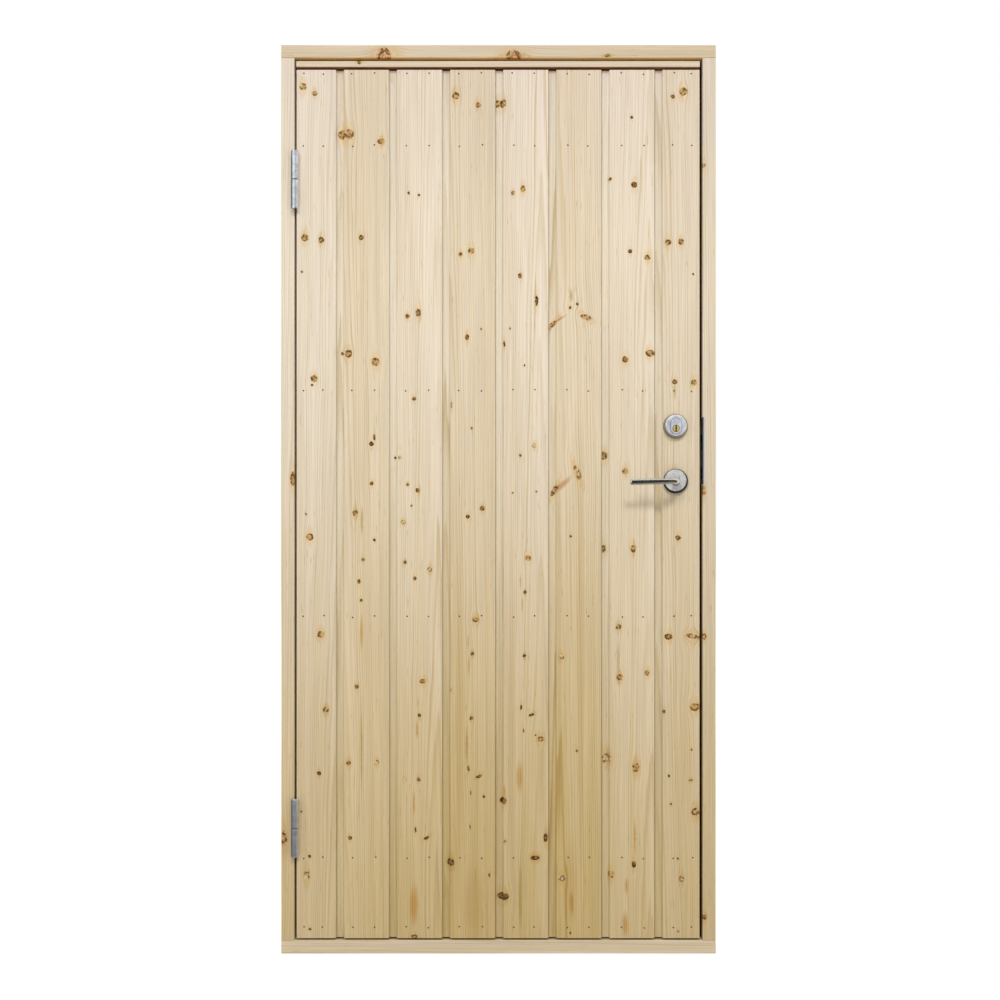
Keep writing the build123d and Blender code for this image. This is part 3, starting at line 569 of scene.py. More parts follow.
def paint_underside_light(tree, colour, shade):
    """Painted bounce light and shade on the faces that look down, as the given shade sets it."""
    upward = tree.axes(tree.node("ShaderNodeNewGeometry").outputs["Normal"])["Z"]
    return tree.tint(tree.fade(upward, *DOWNWARD), colour, shade)


def up_to(tree, value, limit, edge):
    """1 up to a limit, and 0 from beyond its edge on."""
    start, end = edge
    return tree.fade(value, limit + start, limit + end)


def paint_groove_shade(tree, colour, depth):
    """Painted shade: the front of the top rail darkened red-brown, which shows only in the groove above the
    boards.
    """
    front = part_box("top_rail")[0].y
    return tree.tint(up_to(tree, depth, front, FACE_SKIN), colour, GROOVE_PAINTED_SHADE)


def paint_lock_gap_shade(tree, colour, across, depth):
    """Painted shade in the depth of the gap beside the lock, on the side of the rebate, which mirrors the
    hinge side.
    """
    rebate = HINGE_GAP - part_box("board_1")[0].x
    leaf_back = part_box("lock_stile")[1].y
    share = tree.smooth(depth, FACE + PAINTED_GAP_SHADE_START, FACE + PAINTED_GAP_SHADE_END)
    on_side = up_to(tree, across, rebate, FACE_SKIN)
    in_rebate = up_to(tree, depth, leaf_back, GAP_BACK_EDGE)
    return tree.tint(tree.times(share, tree.times(on_side, in_rebate)), colour, LOCK_GAP_PAINTED_SHADE)


def paint_place_light(tree, colour, plank, across, depth):
    """Painted light and shade on the sunk, downward and hidden parts of a plank."""
    if plank in BOARD_PLANKS:
        colour = paint_channel_light(tree, colour, depth)
    if plank.node in PAINTED_UNDERSIDE_LIGHT:
        colour = paint_underside_light(tree, colour, PAINTED_UNDERSIDE_LIGHT[plank.node])
    if plank.node == "top_rail":
        colour = paint_groove_shade(tree, colour, depth)
    if plank.node == "lock_jamb":
        colour = paint_lock_gap_shade(tree, colour, across, depth)
    return colour


def end_marks(tree, depth, nearest, wake, bend):
    """Marks of a thick plank, which end at some depth below the face."""
    deep = tree.smooth(depth, *[FACE + reach for reach in KNOT_DEPTH])
    far = tree.times(deep, NO_KNOT)
    nearest = {kind: tree.plus(distance, far) for kind, distance in nearest.items()}
    return nearest, tree.plus(wake, far), tree.times(bend, tree.minus(1.0, deep))


def clear_wood(tree, plank, point, height, late, fibre):
    """Colour of the wood between the knots and streaks."""
    cloud = tree.noise(point, CLOUD_NOISE)
    ducts = tree.noise(point, DUCT_NOISE)
    warmth = tree.smooth(height, WARMTH_TOP, FOOT, plank.top_warmth, plank.foot_warmth)
    warmth = tree.plus(warmth, tree.smooth(cloud, *CLOUD_SPAN, *CLOUD_WARMTH))
    tones = [[channel * plank.tone for channel in shade] for shade in (CREAM, STRAW)]
    colour = tree.mix(warmth, *tones)
    # Painted shade over the top of the door
    colour = tree.tint(tree.smooth(height, WARMTH_TOP, TOP), colour, TOP_PAINTED_SHADE)
    shade = tree.mix(tree.times(late, plank.contrast), EARLY_SHADE, LATE_SHADE)
    colour = tree.tint(1.0, colour, shade)
    colour = tree.tint(1.0, colour, tree.grey(tree.smooth(fibre, *FIBRE_SPAN, *FIBRE_TONES)))
    return tree.tint(tree.smooth(ducts, *DUCT_SPAN, 0.0, DUCT_STRENGTH), colour, VEIN_SHADE)


def wood(plank, marks):
    """Planed pine: growth rings that flow round the knots, fibres, resin ducts and streaks."""
    material, tree, shader = new_material(f"pine_{plank.node}", Specular_IOR_Level=WOOD_SPECULAR)
    axes = tree.axes(tree.place())
    depth = axes["Y"]
    across, along = by_grain(plank, axes["X"], axes["Z"])
    offset = [step * plank.seed for step in SEED_STEP]
    flat_point = tree.log_point(across, depth, along, offset)
    side_warp, along_warp, patches = tree.noises(flat_point, KNOT_NOISE)
    mark_across = tree.nudge(across, side_warp, KNOT_WARP)
    mark_along = tree.nudge(along, along_warp, KNOT_WARP)
    nearest, wake, bend = mark_fields(tree, plank, mark_across, mark_along, marks)
    if plank not in BOARD_PLANKS:
        nearest, wake, bend = end_marks(tree, depth, nearest, wake, bend)

    wander = tree.noise(flat_point, WANDER_NOISE)
    grain_across = tree.plus(tree.nudge(across, wander, GRAIN_WANDER), bend)
    grain_point = tree.log_point(grain_across, depth, along, offset)
    late = ring_field(tree, plank, grain_point, grain_across, depth, along)
    fibre = tree.noise(grain_point, FIBRE_NOISE)
    colour = clear_wood(tree, plank, grain_point, axes["Z"], late, fibre)
    colour = paint_streaks(tree, colour, nearest, fibre)
    colour, knots = paint_knots(tree, colour, nearest, wake, patches)
    tree.feed(shader.inputs["Base Color"], paint_place_light(tree, colour, plank, across, depth))

    roughness = tree.smooth(late, 0.0, 1.0, *WOOD_ROUGHNESS)
    roughness = tree.minus(roughness, tree.times(knots, KNOT_POLISH))
    tree.feed(shader.inputs["Roughness"], roughness)
    relief = tree.plus(tree.times(late, LATE_RELIEF), tree.times(fibre, FIBRE_RELIEF))
    bump(tree, shader, relief, *WOOD_BUMP)
    return material


def middle_of(node):
    """Middle of the box round a CAD node."""
    low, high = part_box(node)
    return (low + high) / 2


def at_edge(middle, start, end, straight=0.0):
    """Finds the edge of a round or oval fitting: 0 as far out as the start, 1 from the end on. Straight is
    the length between the rounds of an oval."""
    def share(tree, axes):
        aside = tree.minus(axes["X"], middle.x)
        rise = tree.math("ABSOLUTE", tree.minus(axes["Z"], middle.z))
        rise = tree.math("MAXIMUM", tree.minus(rise, straight / 2), 0.0)
        return tree.smooth(tree.math("SQRT", tree.square_sum(aside, rise)), start, end)
    return share


def at_depth(start, end):
    """Finds what lies back from the face, in a slot or a gap: 0 at the start, 1 at the end."""
    def share(tree, axes):
        return tree.smooth(axes["Y"], start, end)
    return share


def at_left(start, end):
    """Finds the left side of an upright round fitting: 0 at the start, 1 at the end."""
    def share(tree, axes):
        return tree.fade(axes["X"], end, start)
    return share


def near_upright(middle, start, end):
    """Finds an upright strip about the middle: 1 as far out as the start, 0 from the end on."""
    def share(tree, axes):
        aside = tree.math("ABSOLUTE", tree.minus(axes["X"], middle.x))
        return tree.fade(aside, start, end)
    return share


def darken(tree, place, colour, darker):
    """Colour with the darker parts laid over it, each a way to find it and its tone."""
    axes = tree.axes(place)
    for find, tone in darker:
        colour = tree.mix(find(tree, axes), colour, tone)
    return colour


# Zinc coat of the hinges, and the painted shade on the left of their knuckles
SPANGLE_SCALE = 130.0
SPANGLE_SHARE = 0.2
ZINC_CLOUD = Noise((45.0, 45.0, 45.0), 3.0)
SCRATCH_NOISE = Noise((1200.0, 1200.0, 30.0), 2.0)
ZINC_SPAN = (0.25, 0.7)
ZINC_TONES = ((0.54, 0.58, 0.65), (0.84, 0.88, 0.94))
ZINC_ROUGHNESS_SPAN = (0.2, 0.8)
ZINC_ROUGHNESS = (0.42, 0.32)
ZINC_BUMP = (0.05, 0.1 * MM)
KNUCKLE_SHADE_START = 3.8 * MM
KNUCKLE_SHADE_END = 5.6 * MM
KNUCKLE_PAINTED_SHADE = (0.035, 0.04, 0.05)


def galvanised():
    """Zinc-coated hinge steel: cloudy blue-grey with fine scratches along it, and painted shade down the
    left of the knuckles.
    """
    material, tree, shader = new_material("galvanised_steel", Metallic=1.0)
    place = tree.place()
    cells = tree.node("ShaderNodeTexVoronoi", {"Vector": place, "Scale": SPANGLE_SCALE})
    spangle = tree.channels(cells.outputs["Color"])[0]
    cloud = tree.noise(place, ZINC_CLOUD)
    scratch = tree.noise(place, SCRATCH_NOISE)
    tone = tree.plus(tree.times(spangle, SPANGLE_SHARE), tree.times(cloud, 1 - SPANGLE_SHARE))
    colour = tree.mix(tree.smooth(tone, *ZINC_SPAN), *ZINC_TONES)
    axis = middle_of("upper_hinge_pin").x
    painted_left_shade = at_left(axis - KNUCKLE_SHADE_START, axis - KNUCKLE_SHADE_END)
    colour = darken(tree, place, colour, [(painted_left_shade, KNUCKLE_PAINTED_SHADE)])
    tree.feed(shader.inputs["Base Color"], colour)
    tree.feed(shader.inputs["Roughness"], tree.smooth(tone, *ZINC_ROUGHNESS_SPAN, *ZINC_ROUGHNESS))
    bump(tree, shader, scratch, *ZINC_BUMP)
    return material


# Other metals: clouding and the lines that drawing or turning leaves
METAL_CLOUD = Noise((90.0, 90.0, 90.0), 4.0)
LINE_NOISE = Noise((900.0, 900.0, 60.0), 2.0)
LINE_SHARE = 0.4
METAL_SPAN = (0.3, 0.7)
METAL_BUMP = (0.06, 0.05 * MM)

# A metal: its dark and its light tone, its lowest and highest roughness, and how metallic it looks
Metal = namedtuple("Metal", "dark light smoothest roughest metallic", defaults=(1.0,))
SATIN = Metal((0.52, 0.55, 0.64), (0.92, 0.94, 0.98), 0.28, 0.40, 0.30)
BRUSHED = Metal((0.52, 0.52, 0.51), (0.97, 0.97, 0.95), 0.26, 0.38, 0.30)
BRASS = Metal((0.70, 0.48, 0.12), (0.92, 0.72, 0.28), 0.22, 0.36, 0.35)
CHROME = Metal((0.56, 0.55, 0.51), (0.68, 0.67, 0.63), 0.17, 0.26)
PIN_STEEL = Metal((0.10, 0.10, 0.11), (0.20, 0.20, 0.21), 0.30, 0.45)
CASE_ZINC = Metal((0.60, 0.65, 0.70), (0.80, 0.85, 0.90), 0.30, 0.45)
STRIKE_ZINC = CASE_ZINC._replace(metallic=0.35)
BOLT_METAL = Metal((0.50, 0.46, 0.38), (0.66, 0.62, 0.54), 0.25, 0.40)
NAIL_STEEL = Metal((0.050, 0.036, 0.026), (0.10, 0.075, 0.055), 0.45, 0.65, 0.3)
SCREW_STEEL = Metal((0.42, 0.43, 0.44), (0.62, 0.63, 0.64), 0.25, 0.40)


def plain_steel(name, metal, darker=()):
    """Bare or plated metal with faint lines and clouding, and the darker parts that are given."""
    material, tree, shader = new_material(name, Metallic=metal.metallic)
    place = tree.place()
    cloud = tree.noise(place, METAL_CLOUD)
    lines = tree.noise(place, LINE_NOISE)
    tone = tree.plus(tree.times(cloud, 1 - LINE_SHARE), tree.times(lines, LINE_SHARE))
    colour = tree.mix(tree.smooth(tone, *METAL_SPAN), metal.dark, metal.light)
    tree.feed(shader.inputs["Base Color"], darken(tree, place, colour, darker))
    roughness = tree.smooth(tone, *METAL_SPAN, metal.roughest, metal.smoothest)
    tree.feed(shader.inputs["Roughness"], roughness)
    bump(tree, shader, lines, *METAL_BUMP)
    return material


def set_material(material, *nodes):
    """Gives CAD nodes a material of their own."""
    for name in nodes:
        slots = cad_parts[name].data.materials
        slots.clear()
        slots.append(material)


def dress_wood():
    """Boards, frame and the framing behind the boards."""
    for number, plank in enumerate(BOARD_PLANKS, 1):
        set_material(wood(plank, BOARD_MARKS[number]), plank.node)
    for plank in OTHER_PLANKS:
        set_material(wood(plank, FRAME_MARKS.get(plank.node, [])), plank.node)


# Darker parts of the lock's fittings: dark joints, and painted shade and reflection
# Painted reflection of the wood on the sides of the collar
COLLAR_SIDE_PAINTED_REFLECTION = (0.30, 0.255, 0.19)
COLLAR_FACE_RADIUS = 23.8 * MM
COLLAR_FACE_EDGE = 1.0 * MM
CORE_JOINT_TONE = (0.10, 0.11, 0.15)
CORE_JOINT_WIDTH = 1.3 * MM
PLUG_EDGE_TONE = (0.16, 0.09, 0.03)
PLUG_EDGE_WIDTH = 1.6 * MM
# Painted shade deep in the key slot
SLOT_PAINTED_SHADE = (0.012, 0.010, 0.008)
SLOT_DEPTHS = (0.3 * MM, 1.2 * MM)
# Painted shade on the rims of the roses
ROSE_RIM_PAINTED_SHADE = (0.030, 0.030, 0.027)
ROSE_RIM = (4.0 * MM, 2.8 * MM)
# The painted dark rims show more below than above
COLLAR_FACE_SHIFT = Vector((0.4 * MM, 0, 2.0 * MM))
ROSE_FACE_SHIFT = Vector((-0.7 * MM, 0, 1.9 * MM))
# Painted shade beside the key slot, to either side of its middle
SLOT_SIDE_PAINTED_SHADE = (1.2 * MM, 1.9 * MM)
# Painted shade: the strike plate is darkened between these depths below the face
STRIKE_PAINTED_SHADE_DEPTHS = (6 * MM, 26 * MM)
STRIKE_GAP_PAINTED_SHADE = (0.016, 0.017, 0.019)


def half_width(node):
    low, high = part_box(node)
    return (high.x - low.x) / 2


def dress_cylinder():
    """Satin collar with a painted brownish reflection of the wood on its sides, oval core with a dark joint
    round it, and the brass plug.
    """
    collar_middle = middle_of("cylinder_ring") + COLLAR_FACE_SHIFT
    collar_side = at_edge(collar_middle, COLLAR_FACE_RADIUS, COLLAR_FACE_RADIUS + COLLAR_FACE_EDGE)
    set_material(plain_steel("satin_ring", SATIN, [(collar_side, COLLAR_SIDE_PAINTED_REFLECTION)]), "cylinder_ring")

    low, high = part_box("cylinder_core")
    core_radius = half_width("cylinder_core")
    straight = (high.z - low.z) - 2 * core_radius
    joint = at_edge(middle_of("cylinder_core"), core_radius - CORE_JOINT_WIDTH, core_radius, straight)
    set_material(plain_steel("satin_core", SATIN, [(joint, CORE_JOINT_TONE)]), "cylinder_core")
    set_material(plain_steel("satin_chrome", SATIN), "turn_rose", "turn_knob")

    plug_radius = half_width("key_plug")
    plug_edge = at_edge(middle_of("key_plug"), plug_radius - PLUG_EDGE_WIDTH, plug_radius)
    plug_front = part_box("key_plug")[0].y
    # Painted shade deep in the key slot
    slot = at_depth(*[plug_front + depth for depth in SLOT_DEPTHS])
    # Painted shade beside the slot, in the tone of the plug's edge
    slot_side_shade = near_upright(middle_of("key_plug"), *SLOT_SIDE_PAINTED_SHADE)
    dark_parts = [(plug_edge, PLUG_EDGE_TONE), (slot_side_shade, PLUG_EDGE_TONE), (slot, SLOT_PAINTED_SHADE)]
    set_material(plain_steel("plug_brass", BRASS, dark_parts), "key_plug")


def dress_roses():
    """Lever roses: brushed faces, and painted shade on their turned rims."""
    for name in ("outer_rose", "inner_rose"):
        radius = half_width(name)
        start, end = [radius - width for width in ROSE_RIM]
        # Painted shade round the rim
        rim = at_edge(middle_of(name) + ROSE_FACE_SHIFT, start, end)
        set_material(plain_steel(f"brushed_{name}", BRUSHED, [(rim, ROSE_RIM_PAINTED_SHADE)]), name)


def dress_metal():
    """Hinges, lock and fittings."""
    hinges = [f"{place}_hinge_{half}_half" for place in ("upper", "lower") for half in ("frame", "leaf")]
    set_material(galvanised(), *hinges)
    set_material(plain_steel("pin_steel", PIN_STEEL), "upper_hinge_pin", "lower_hinge_pin", "spindle")
    # Painted shade inside the gap at the strike plate
    strike_gap_shade = at_depth(*[FACE + depth for depth in STRIKE_PAINTED_SHADE_DEPTHS])
    set_material(plain_steel("strike_steel", STRIKE_ZINC, [(strike_gap_shade, STRIKE_GAP_PAINTED_SHADE)]), "strike_plate")
    set_material(plain_steel("case_steel", CASE_ZINC), "lock_case")
    set_material(plain_steel("bolt_metal", BOLT_METAL), "latch_bolt", "dead_bolt")
    dress_cylinder()
    dress_roses()


# Nails: two in each board at each rail, in six rows
NAIL_ROWS_PX = (73.5, 145.5, 390.5, 616.5, 858.0, 927.0)
NAIL_PAIRS_PX = (
    (304.0, 323.0), (352.5, 375.0), (406.5, 429.0), (459.5, 482.0),
    (513.0, 535.0), (567.5, 588.5), (622.0, 643.5), (673.5, 692.0),
)
NAIL_HEAD_RADIUS = 1.8 * MM
NAIL_HEAD_PROUD = 0.25 * MM
NAIL_SIDES = 14
NAIL_DRIFT = 2.2 * MM
NAIL_SEED = 12
# Outline of a nail head: share of its radius, and depth behind the face as a share of how proud it stands
NAIL_PROFILE = ((1.0, 0.4), (1.0, -0.5), (0.75, -0.9), (0.3, -1.0))


def add_object(name, data):
    """New object in the scene."""
    made = bpy.data.objects.new(name, data)
    bpy.context.scene.collection.objects.link(made)
    return made


def piece_from(mesh_maker, name, material, body):
    """Object made from a bmesh, riding on a body."""
    mesh = bpy.data.meshes.new(name)
    mesh_maker.normal_update()
    mesh_maker.to_mesh(mesh)
    mesh_maker.free()
    mesh.materials.append(material)
    piece = add_object(name, mesh)
    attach(piece, body)
    return piece


def add_rings(mesh_maker, rings):
    """Closed skin over rings of points, each as long as the others."""
    loops = [[mesh_maker.verts.new(point) for point in ring] for ring in rings]
    count = len(loops[0])
    for first, second in zip(loops, loops[1:]):
        for index in range(count):
            following = (index + 1) % count
            face = (first[index], first[following], second[following], second[index])
            mesh_maker.faces.new(face).smooth = True
    mesh_maker.faces.new(reversed(loops[0]))
    mesh_maker.faces.new(loops[-1])
    bmesh.ops.recalc_face_normals(mesh_maker, faces=mesh_maker.faces)


def turns_of(sides):
    """Angles of the points round a ring."""
    return [math.tau * index / sides for index in range(sides)]


def nail_ring(middle, radius, y):
    """Ring of points round an axis that runs along Y."""
    turns = turns_of(NAIL_SIDES)
    return [(middle.x + radius * math.cos(t), y, middle.z + radius * math.sin(t)) for t in turns]


def nail_heads():
    """Heads of all the nails, each a little off its place."""
    draw = random.Random(NAIL_SEED)
    material = plain_steel("nail_steel", NAIL_STEEL)
    maker = bmesh.new()
    for row in NAIL_ROWS_PX:
        for pair in NAIL_PAIRS_PX:
            for across in pair:
                right, height = photo_place(across, row)
                right += draw.uniform(-NAIL_DRIFT, NAIL_DRIFT)
                height += draw.uniform(-NAIL_DRIFT, NAIL_DRIFT)
                middle = Vector((right, 0, height))
                rings = [
                    nail_ring(middle, NAIL_HEAD_RADIUS * share, FACE + NAIL_HEAD_PROUD * depth)
                    for share, depth in NAIL_PROFILE
                ]
                add_rings(maker, rings)
    piece_from(maker, "nail_heads", material, "leaf")


# Lever handles: round collar and neck, a bend, and a flattened grip that tapers to a rounded tip
LEVER_REACH = 108 * MM
LEVER_STANDOFF = 52 * MM
LEVER_DROOP = math.radians(1.5)
COLLAR_BASE = 0.4 * MM
COLLAR_EDGE = 10.2 * MM
COLLAR_TOP = 11 * MM
COLLAR_RADIUS = 10 * MM
COLLAR_EASED_RADIUS = 9.3 * MM
NECK_RADIUS = 7 * MM
ELBOW_BEND = 13 * MM
GRIP_HALF_HEIGHT = 7.0 * MM
GRIP_HALF_DEPTH = 6.0 * MM
TIP_HALF_HEIGHT = 6.6 * MM
TIP_HALF_DEPTH = 4.0 * MM
TIP_ROUND = 5 * MM
ROUND_SECTION = 2.0
GRIP_SECTION = 2.4
SECTION_CHANGE = 0.3
ELBOW_STEPS = 14
GRIP_STEPS = 26
TIP_STEPS = 8
TIP_END = 0.97
LEVER_SIDES = 48

# One section of the lever: how far out and along it lies, the way it faces, its half height and half
# depth, and how square it is (2 is an oval)
Section = namedtuple("Section", "out along turn high deep square")


def between(start, end, share):
    """Value as far from start to end as the share."""
    return start + (end - start) * share


def lever_sections():
    """Sections of the lever from the collar in its rose to the tip."""
    turned = ((COLLAR_BASE, COLLAR_RADIUS), (COLLAR_EDGE, COLLAR_RADIUS), (COLLAR_TOP, COLLAR_EASED_RADIUS))
    neck_end = LEVER_STANDOFF - ELBOW_BEND
    turned += ((COLLAR_TOP, NECK_RADIUS), (between(COLLAR_TOP, neck_end, 0.5), NECK_RADIUS))
    sections = [Section(out, 0.0, 0.0, radius, radius, ROUND_SECTION) for out, radius in turned]
    for step in range(ELBOW_STEPS):
        share = step / ELBOW_STEPS
        turn = share * QUARTER_TURN
        out = neck_end + ELBOW_BEND * math.sin(turn)
        along = ELBOW_BEND * (1 - math.cos(turn))
        high = between(NECK_RADIUS, GRIP_HALF_HEIGHT, share)
        deep = between(NECK_RADIUS, GRIP_HALF_DEPTH, share)
        sections.append(Section(out, along, turn, high, deep, ROUND_SECTION))
    grip_end = LEVER_REACH - TIP_ROUND
    for step in range(GRIP_STEPS + 1):
        share = step / GRIP_STEPS
        along = between(ELBOW_BEND, grip_end, share)
        high = between(GRIP_HALF_HEIGHT, TIP_HALF_HEIGHT, share)
        deep = between(GRIP_HALF_DEPTH, TIP_HALF_DEPTH, share)
        square = between(ROUND_SECTION, GRIP_SECTION, min(share / SECTION_CHANGE, 1.0))
        sections.append(Section(LEVER_STANDOFF, along, QUARTER_TURN, high, deep, square))
    for step in range(1, TIP_STEPS + 1):
        turn = step / TIP_STEPS * TIP_END * QUARTER_TURN
        along = grip_end + TIP_ROUND * math.sin(turn)
        size = math.cos(turn)
        high, deep = TIP_HALF_HEIGHT * size, TIP_HALF_DEPTH * size
        sections.append(Section(LEVER_STANDOFF, along, QUARTER_TURN, high, deep, GRIP_SECTION))
    return sections


def squared(value, square):
    """Sine or cosine as a rounder or squarer outline needs it."""
    return math.copysign(abs(value) ** (2 / square), value)


def section_ring(section, axis, face, outward):
    """Points round one section of a lever that turns on an axis along Y and stands out from a face."""
    points = []
    for turn in turns_of(LEVER_SIDES):
        aside = section.deep * squared(math.cos(turn), section.square)
        rise = section.high * squared(math.sin(turn), section.square)
        out = section.out - aside * math.sin(section.turn)
        left = -(section.along + aside * math.cos(section.turn))
        x = left * math.cos(LEVER_DROOP) - rise * math.sin(LEVER_DROOP)
        z = left * math.sin(LEVER_DROOP) + rise * math.cos(LEVER_DROOP)
        points.append((axis.x + x, face + outward * out, axis.z + z))
    return points


def levers():
    """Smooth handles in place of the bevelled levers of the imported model."""
    chrome = plain_steel("polished_chrome", CHROME)
    faces = {"outer": (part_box("outer_rose")[1].y, -1), "inner": (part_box("inner_rose")[0].y, 1)}
    for side, (face, outward) in faces.items():
        axis = middle_of(f"{side}_rose")
        maker = bmesh.new()
        add_rings(maker, [section_ring(section, axis, face, outward) for section in lever_sections()])
        piece = piece_from(maker, f"{side}_lever_handle", chrome, "handle")
        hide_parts(f"{side}_lever")


# Cross-head screws in the plates at the edges of leaf and frame
SCREW_RADIUS = 4 * MM
SCREW_PROUD = 0.6 * MM
SCREW_SUNK = -0.3 * MM
SCREW_EASED = 0.82
RECESS_FLOOR = 0.1 * MM
RECESS_HALF_LENGTH = 2.3 * MM
RECESS_HALF_WIDTH = 0.7 * MM
SCREW_SIDES = 40
HINGE_SCREW_SPREAD = 48 * MM
HINGE_SCREW_STAGGER = 8 * MM
PLATE_END_MARGIN = 9 * MM
LEAST_SLOPE = 1e-6


def cross_reach(turn):
    """Distance from the middle of a cross recess to its outline."""
    level = max(abs(math.cos(turn)), LEAST_SLOPE)
    steep = max(abs(math.sin(turn)), LEAST_SLOPE)
    arm = min(RECESS_HALF_LENGTH / level, RECESS_HALF_WIDTH / steep)
    other_arm = min(RECESS_HALF_WIDTH / level, RECESS_HALF_LENGTH / steep)
    return max(arm, other_arm)


def add_screw(maker, middle, out):
    """Screw head with a cross recess on a face whose outward direction is given."""
    right = UP.cross(out)
    up = out.cross(right)
    turns = turns_of(SCREW_SIDES)
    head = [SCREW_RADIUS] * SCREW_SIDES
    eased = [SCREW_RADIUS * SCREW_EASED] * SCREW_SIDES
    cross = [cross_reach(turn) for turn in turns]
    levels = ((SCREW_SUNK, head), (0.0, head), (SCREW_PROUD, eased))
    levels += ((SCREW_PROUD, cross), (RECESS_FLOOR, cross))
    rings = []
    for lift, reaches in levels:
        ring = []
        for turn, reach in zip(turns, reaches):
            spread = right * math.cos(turn) + up * math.sin(turn)
            ring.append(middle + spread * reach + out * lift)
        rings.append(ring)
    add_rings(maker, rings)


def hinge_screws(body, face_x, out):
    """Three screws in each hinge plate of one body."""
    maker = bmesh.new()
    for place in ("upper", "lower"):
        low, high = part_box(f"{place}_hinge_{body}_half")
        height = (low.z + high.z) / 2
        depth = (FACE + high.y) / 2
        for step in (-1, 0, 1):
            shift = HINGE_SCREW_STAGGER * (0.5 - abs(step))
            middle = Vector((face_x, depth + shift, height + step * HINGE_SCREW_SPREAD))
            add_screw(maker, middle, out)
    return maker


def plate_screws(maker, plate, face_x, out):
    """A screw near each end of an upright plate of the lock."""
    low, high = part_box(plate)
    depth = middle_of("lock_case").y
    for height in (low.z + PLATE_END_MARGIN, high.z - PLATE_END_MARGIN):
        add_screw(maker, Vector((face_x, depth, height)), out)


def screws():
    """Screws in the hinge plates, the strike plate and the face plate of the lock."""
    material = plain_steel("screw_steel", SCREW_STEEL)
    leaf_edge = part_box("board_1")[0].x
    frame_maker = hinge_screws("frame", leaf_edge - HINGE_GAP, TO_RIGHT)
    plate_screws(frame_maker, "strike_plate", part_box("strike_plate")[0].x, -TO_RIGHT)
    piece_from(frame_maker, "frame_screws", material, "frame")
    leaf_maker = hinge_screws("leaf", leaf_edge, -TO_RIGHT)
    plate_screws(leaf_maker, "lock_case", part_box("lock_case")[1].x, TO_RIGHT)
    piece_from(leaf_maker, "leaf_screws", material, "leaf")


# Stage: pale floor, white surroundings, soft light from above, in front and behind
FLOOR_SIDE = 30.0
FLOOR_GAP = 0.5 * MM
FLOOR_SEEN = 0.90
FLOOR_GLOW = 0.45
FLOOR_BOUNCE = 0.55
AMBIENT = 0.60
LAMP_AIM = (0.0, 0.0, 1.10)
Lamp = namedtuple("Lamp", "name place size power")
LAMPS = [
    Lamp("key", (1.8, -8.0, 9.0), (1.9, 1.5), 445.0),
    Lamp("fill", (-2.5, -8.0, 7.0), (2.6, 2.6), 248.0),
    Lamp("back", (-2.0, 8.0, 8.0), (2.6, 2.6), 520.0),
]

# Cards that the metal mirrors: a dark one on the floor and upright, and a grey one let into its floor
CARD_TONE = (0.045, 0.049, 0.044, 1.0)
GREY_CARD_TONE = (0.36, 0.35, 0.31, 1.0)
CARD_SIDES = (-6.0, 6.0)
CARD_NEAR = -0.06
CARD_FAR = -4.5
GREY_CARD_SIDES = (0.15, 1.3)
GREY_CARD_FAR = -2.4
UPRIGHT_SIDES = (-0.35, 3.0)
UPRIGHT_PLACE = -1.5
UPRIGHT_HEIGHTS = (0.5, 2.1)


def seen_directly(tree):
    """1 for what the camera, a mirror or glass shows, 0 for light that only bounces."""
    path = tree.node("ShaderNodeLightPath").outputs
    seen = tree.math("MAXIMUM", path["Is Camera Ray"], path["Is Glossy Ray"])
    return tree.math("MAXIMUM", seen, path["Is Transmission Ray"])


def make_world():
    """White surroundings, dimmer as light than as seen."""
    world = bpy.data.worlds.new("studio")
    bpy.context.scene.world = world
    world.use_nodes = True
    world.node_tree.nodes.clear()
    tree = Tree(world.node_tree)
    strength = tree.smooth(seen_directly(tree), 0.0, 1.0, AMBIENT, 1.0)
    background = tree.node("ShaderNodeBackground", {"Color": (1, 1, 1, 1), "Strength": strength})
    tree.node("ShaderNodeOutputWorld", {"Surface": background.outputs[0]})


def floor_quad(sides, near, far, lift):
    """Corners of a flat piece at the foot of the part."""
    return [(x, y, FOOT + lift) for y in (near, far) for x in sides]


def flat_object(name, quads, material):
    """Object made of flat pieces, each given by the corners of two opposite edges."""
    mesh = bpy.data.meshes.new(name)
    corners = [corner for quad in quads for corner in quad]
    starts = range(0, len(corners), 4)
    mesh.from_pydata(corners, [], [(start, start + 1, start + 3, start + 2) for start in starts])
    mesh.materials.append(material)
    return add_object(name, mesh)


def make_floor():
    """Pale floor that looks nearly white and throws less light back."""
    material, tree = empty_material("floor_pale")
    seen = seen_directly(tree)
    tone = tree.mix(seen, (FLOOR_BOUNCE,) * 3, (FLOOR_SEEN,) * 3)
    diffuse = tree.node("ShaderNodeBsdfDiffuse", {"Color": tone})
    glow = tree.node("ShaderNodeEmission", {"Strength": tree.times(seen, FLOOR_GLOW)})
    both = tree.node("ShaderNodeAddShader", {0: diffuse.outputs[0], 1: glow.outputs[0]})
    tree.node("ShaderNodeOutputMaterial", {"Surface": both.outputs[0]})
    half = FLOOR_SIDE / 2
    floor = flat_object("floor", [floor_quad((-half, half), -half, half, -FLOOR_GAP)], material)


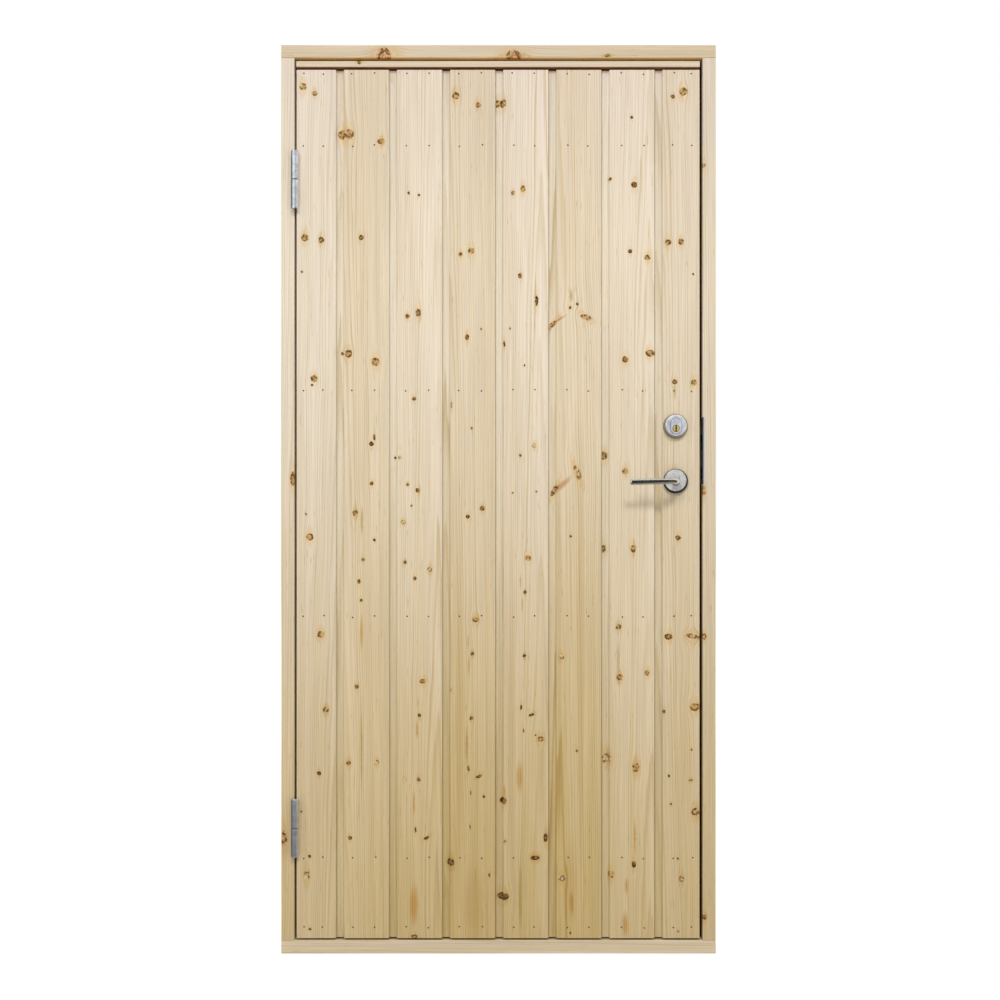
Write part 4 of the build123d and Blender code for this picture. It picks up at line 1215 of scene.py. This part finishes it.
def make_card(name, tone, quads):
    """Card that is seen only as a reflection in the metal."""
    material, tree = empty_material(name)
    glow = tree.node("ShaderNodeEmission", {"Color": tone})
    tree.node("ShaderNodeOutputMaterial", {"Surface": glow.outputs[0]})
    card = flat_object(name, quads, material)
    card.visible_camera = False
    card.visible_diffuse = False
    card.visible_transmission = False
    card.visible_shadow = False


def make_cards():
    """Dark card upright before the lock and on the floor, and a grey one on the floor below the lock."""
    left, right = CARD_SIDES
    grey_left, grey_right = GREY_CARD_SIDES
    dark_quads = [[(x, UPRIGHT_PLACE, z) for z in UPRIGHT_HEIGHTS for x in UPRIGHT_SIDES]]
    for sides in ((left, grey_left), (grey_right, right)):
        dark_quads.append(floor_quad(sides, CARD_NEAR, CARD_FAR, FLOOR_GAP))
    dark_quads.append(floor_quad(GREY_CARD_SIDES, GREY_CARD_FAR, CARD_FAR, FLOOR_GAP))
    make_card("dark_card", CARD_TONE, dark_quads)
    grey_quad = floor_quad(GREY_CARD_SIDES, CARD_NEAR, GREY_CARD_FAR, FLOOR_GAP)
    make_card("grey_card", GREY_CARD_TONE, [grey_quad])


def make_light(lamp):
    """Wide lamp that is not itself seen, nor mirrored in the metal."""
    data = bpy.data.lights.new(lamp.name, "AREA")
    data.shape = "RECTANGLE"
    data.size, data.size_y = lamp.size
    data.energy = lamp.power
    light = add_object(lamp.name, data)
    light.location = lamp.place
    direction = Vector(LAMP_AIM) - Vector(lamp.place)
    light.rotation_euler = direction.to_track_quat("-Z", "Y").to_euler()
    light.visible_camera = False
    light.visible_glossy = False


def make_camera():
    """Camera whose picture puts the frame where the photo has it."""
    camera = bpy.data.cameras.new("camera")
    view_side = PHOTO_SIDE * METRES_PER_PX
    camera.sensor_width = SENSOR_WIDTH
    camera.lens = SENSOR_WIDTH * CAMERA_DISTANCE / view_side
    middle = PHOTO_SIDE / 2
    right, height = photo_place(middle, middle)
    holder = add_object("camera", camera)
    holder.location = (right, FACE - CAMERA_DISTANCE, height)
    holder.rotation_euler = (QUARTER_TURN, 0, 0)
    bpy.context.scene.camera = holder


dress_wood()
dress_metal()
nail_heads()
levers()
screws()
make_world()
make_floor()
make_cards()
for lamp in LAMPS:
    make_light(lamp)
make_camera()
bpy.context.scene.view_settings.view_transform = "Standard"
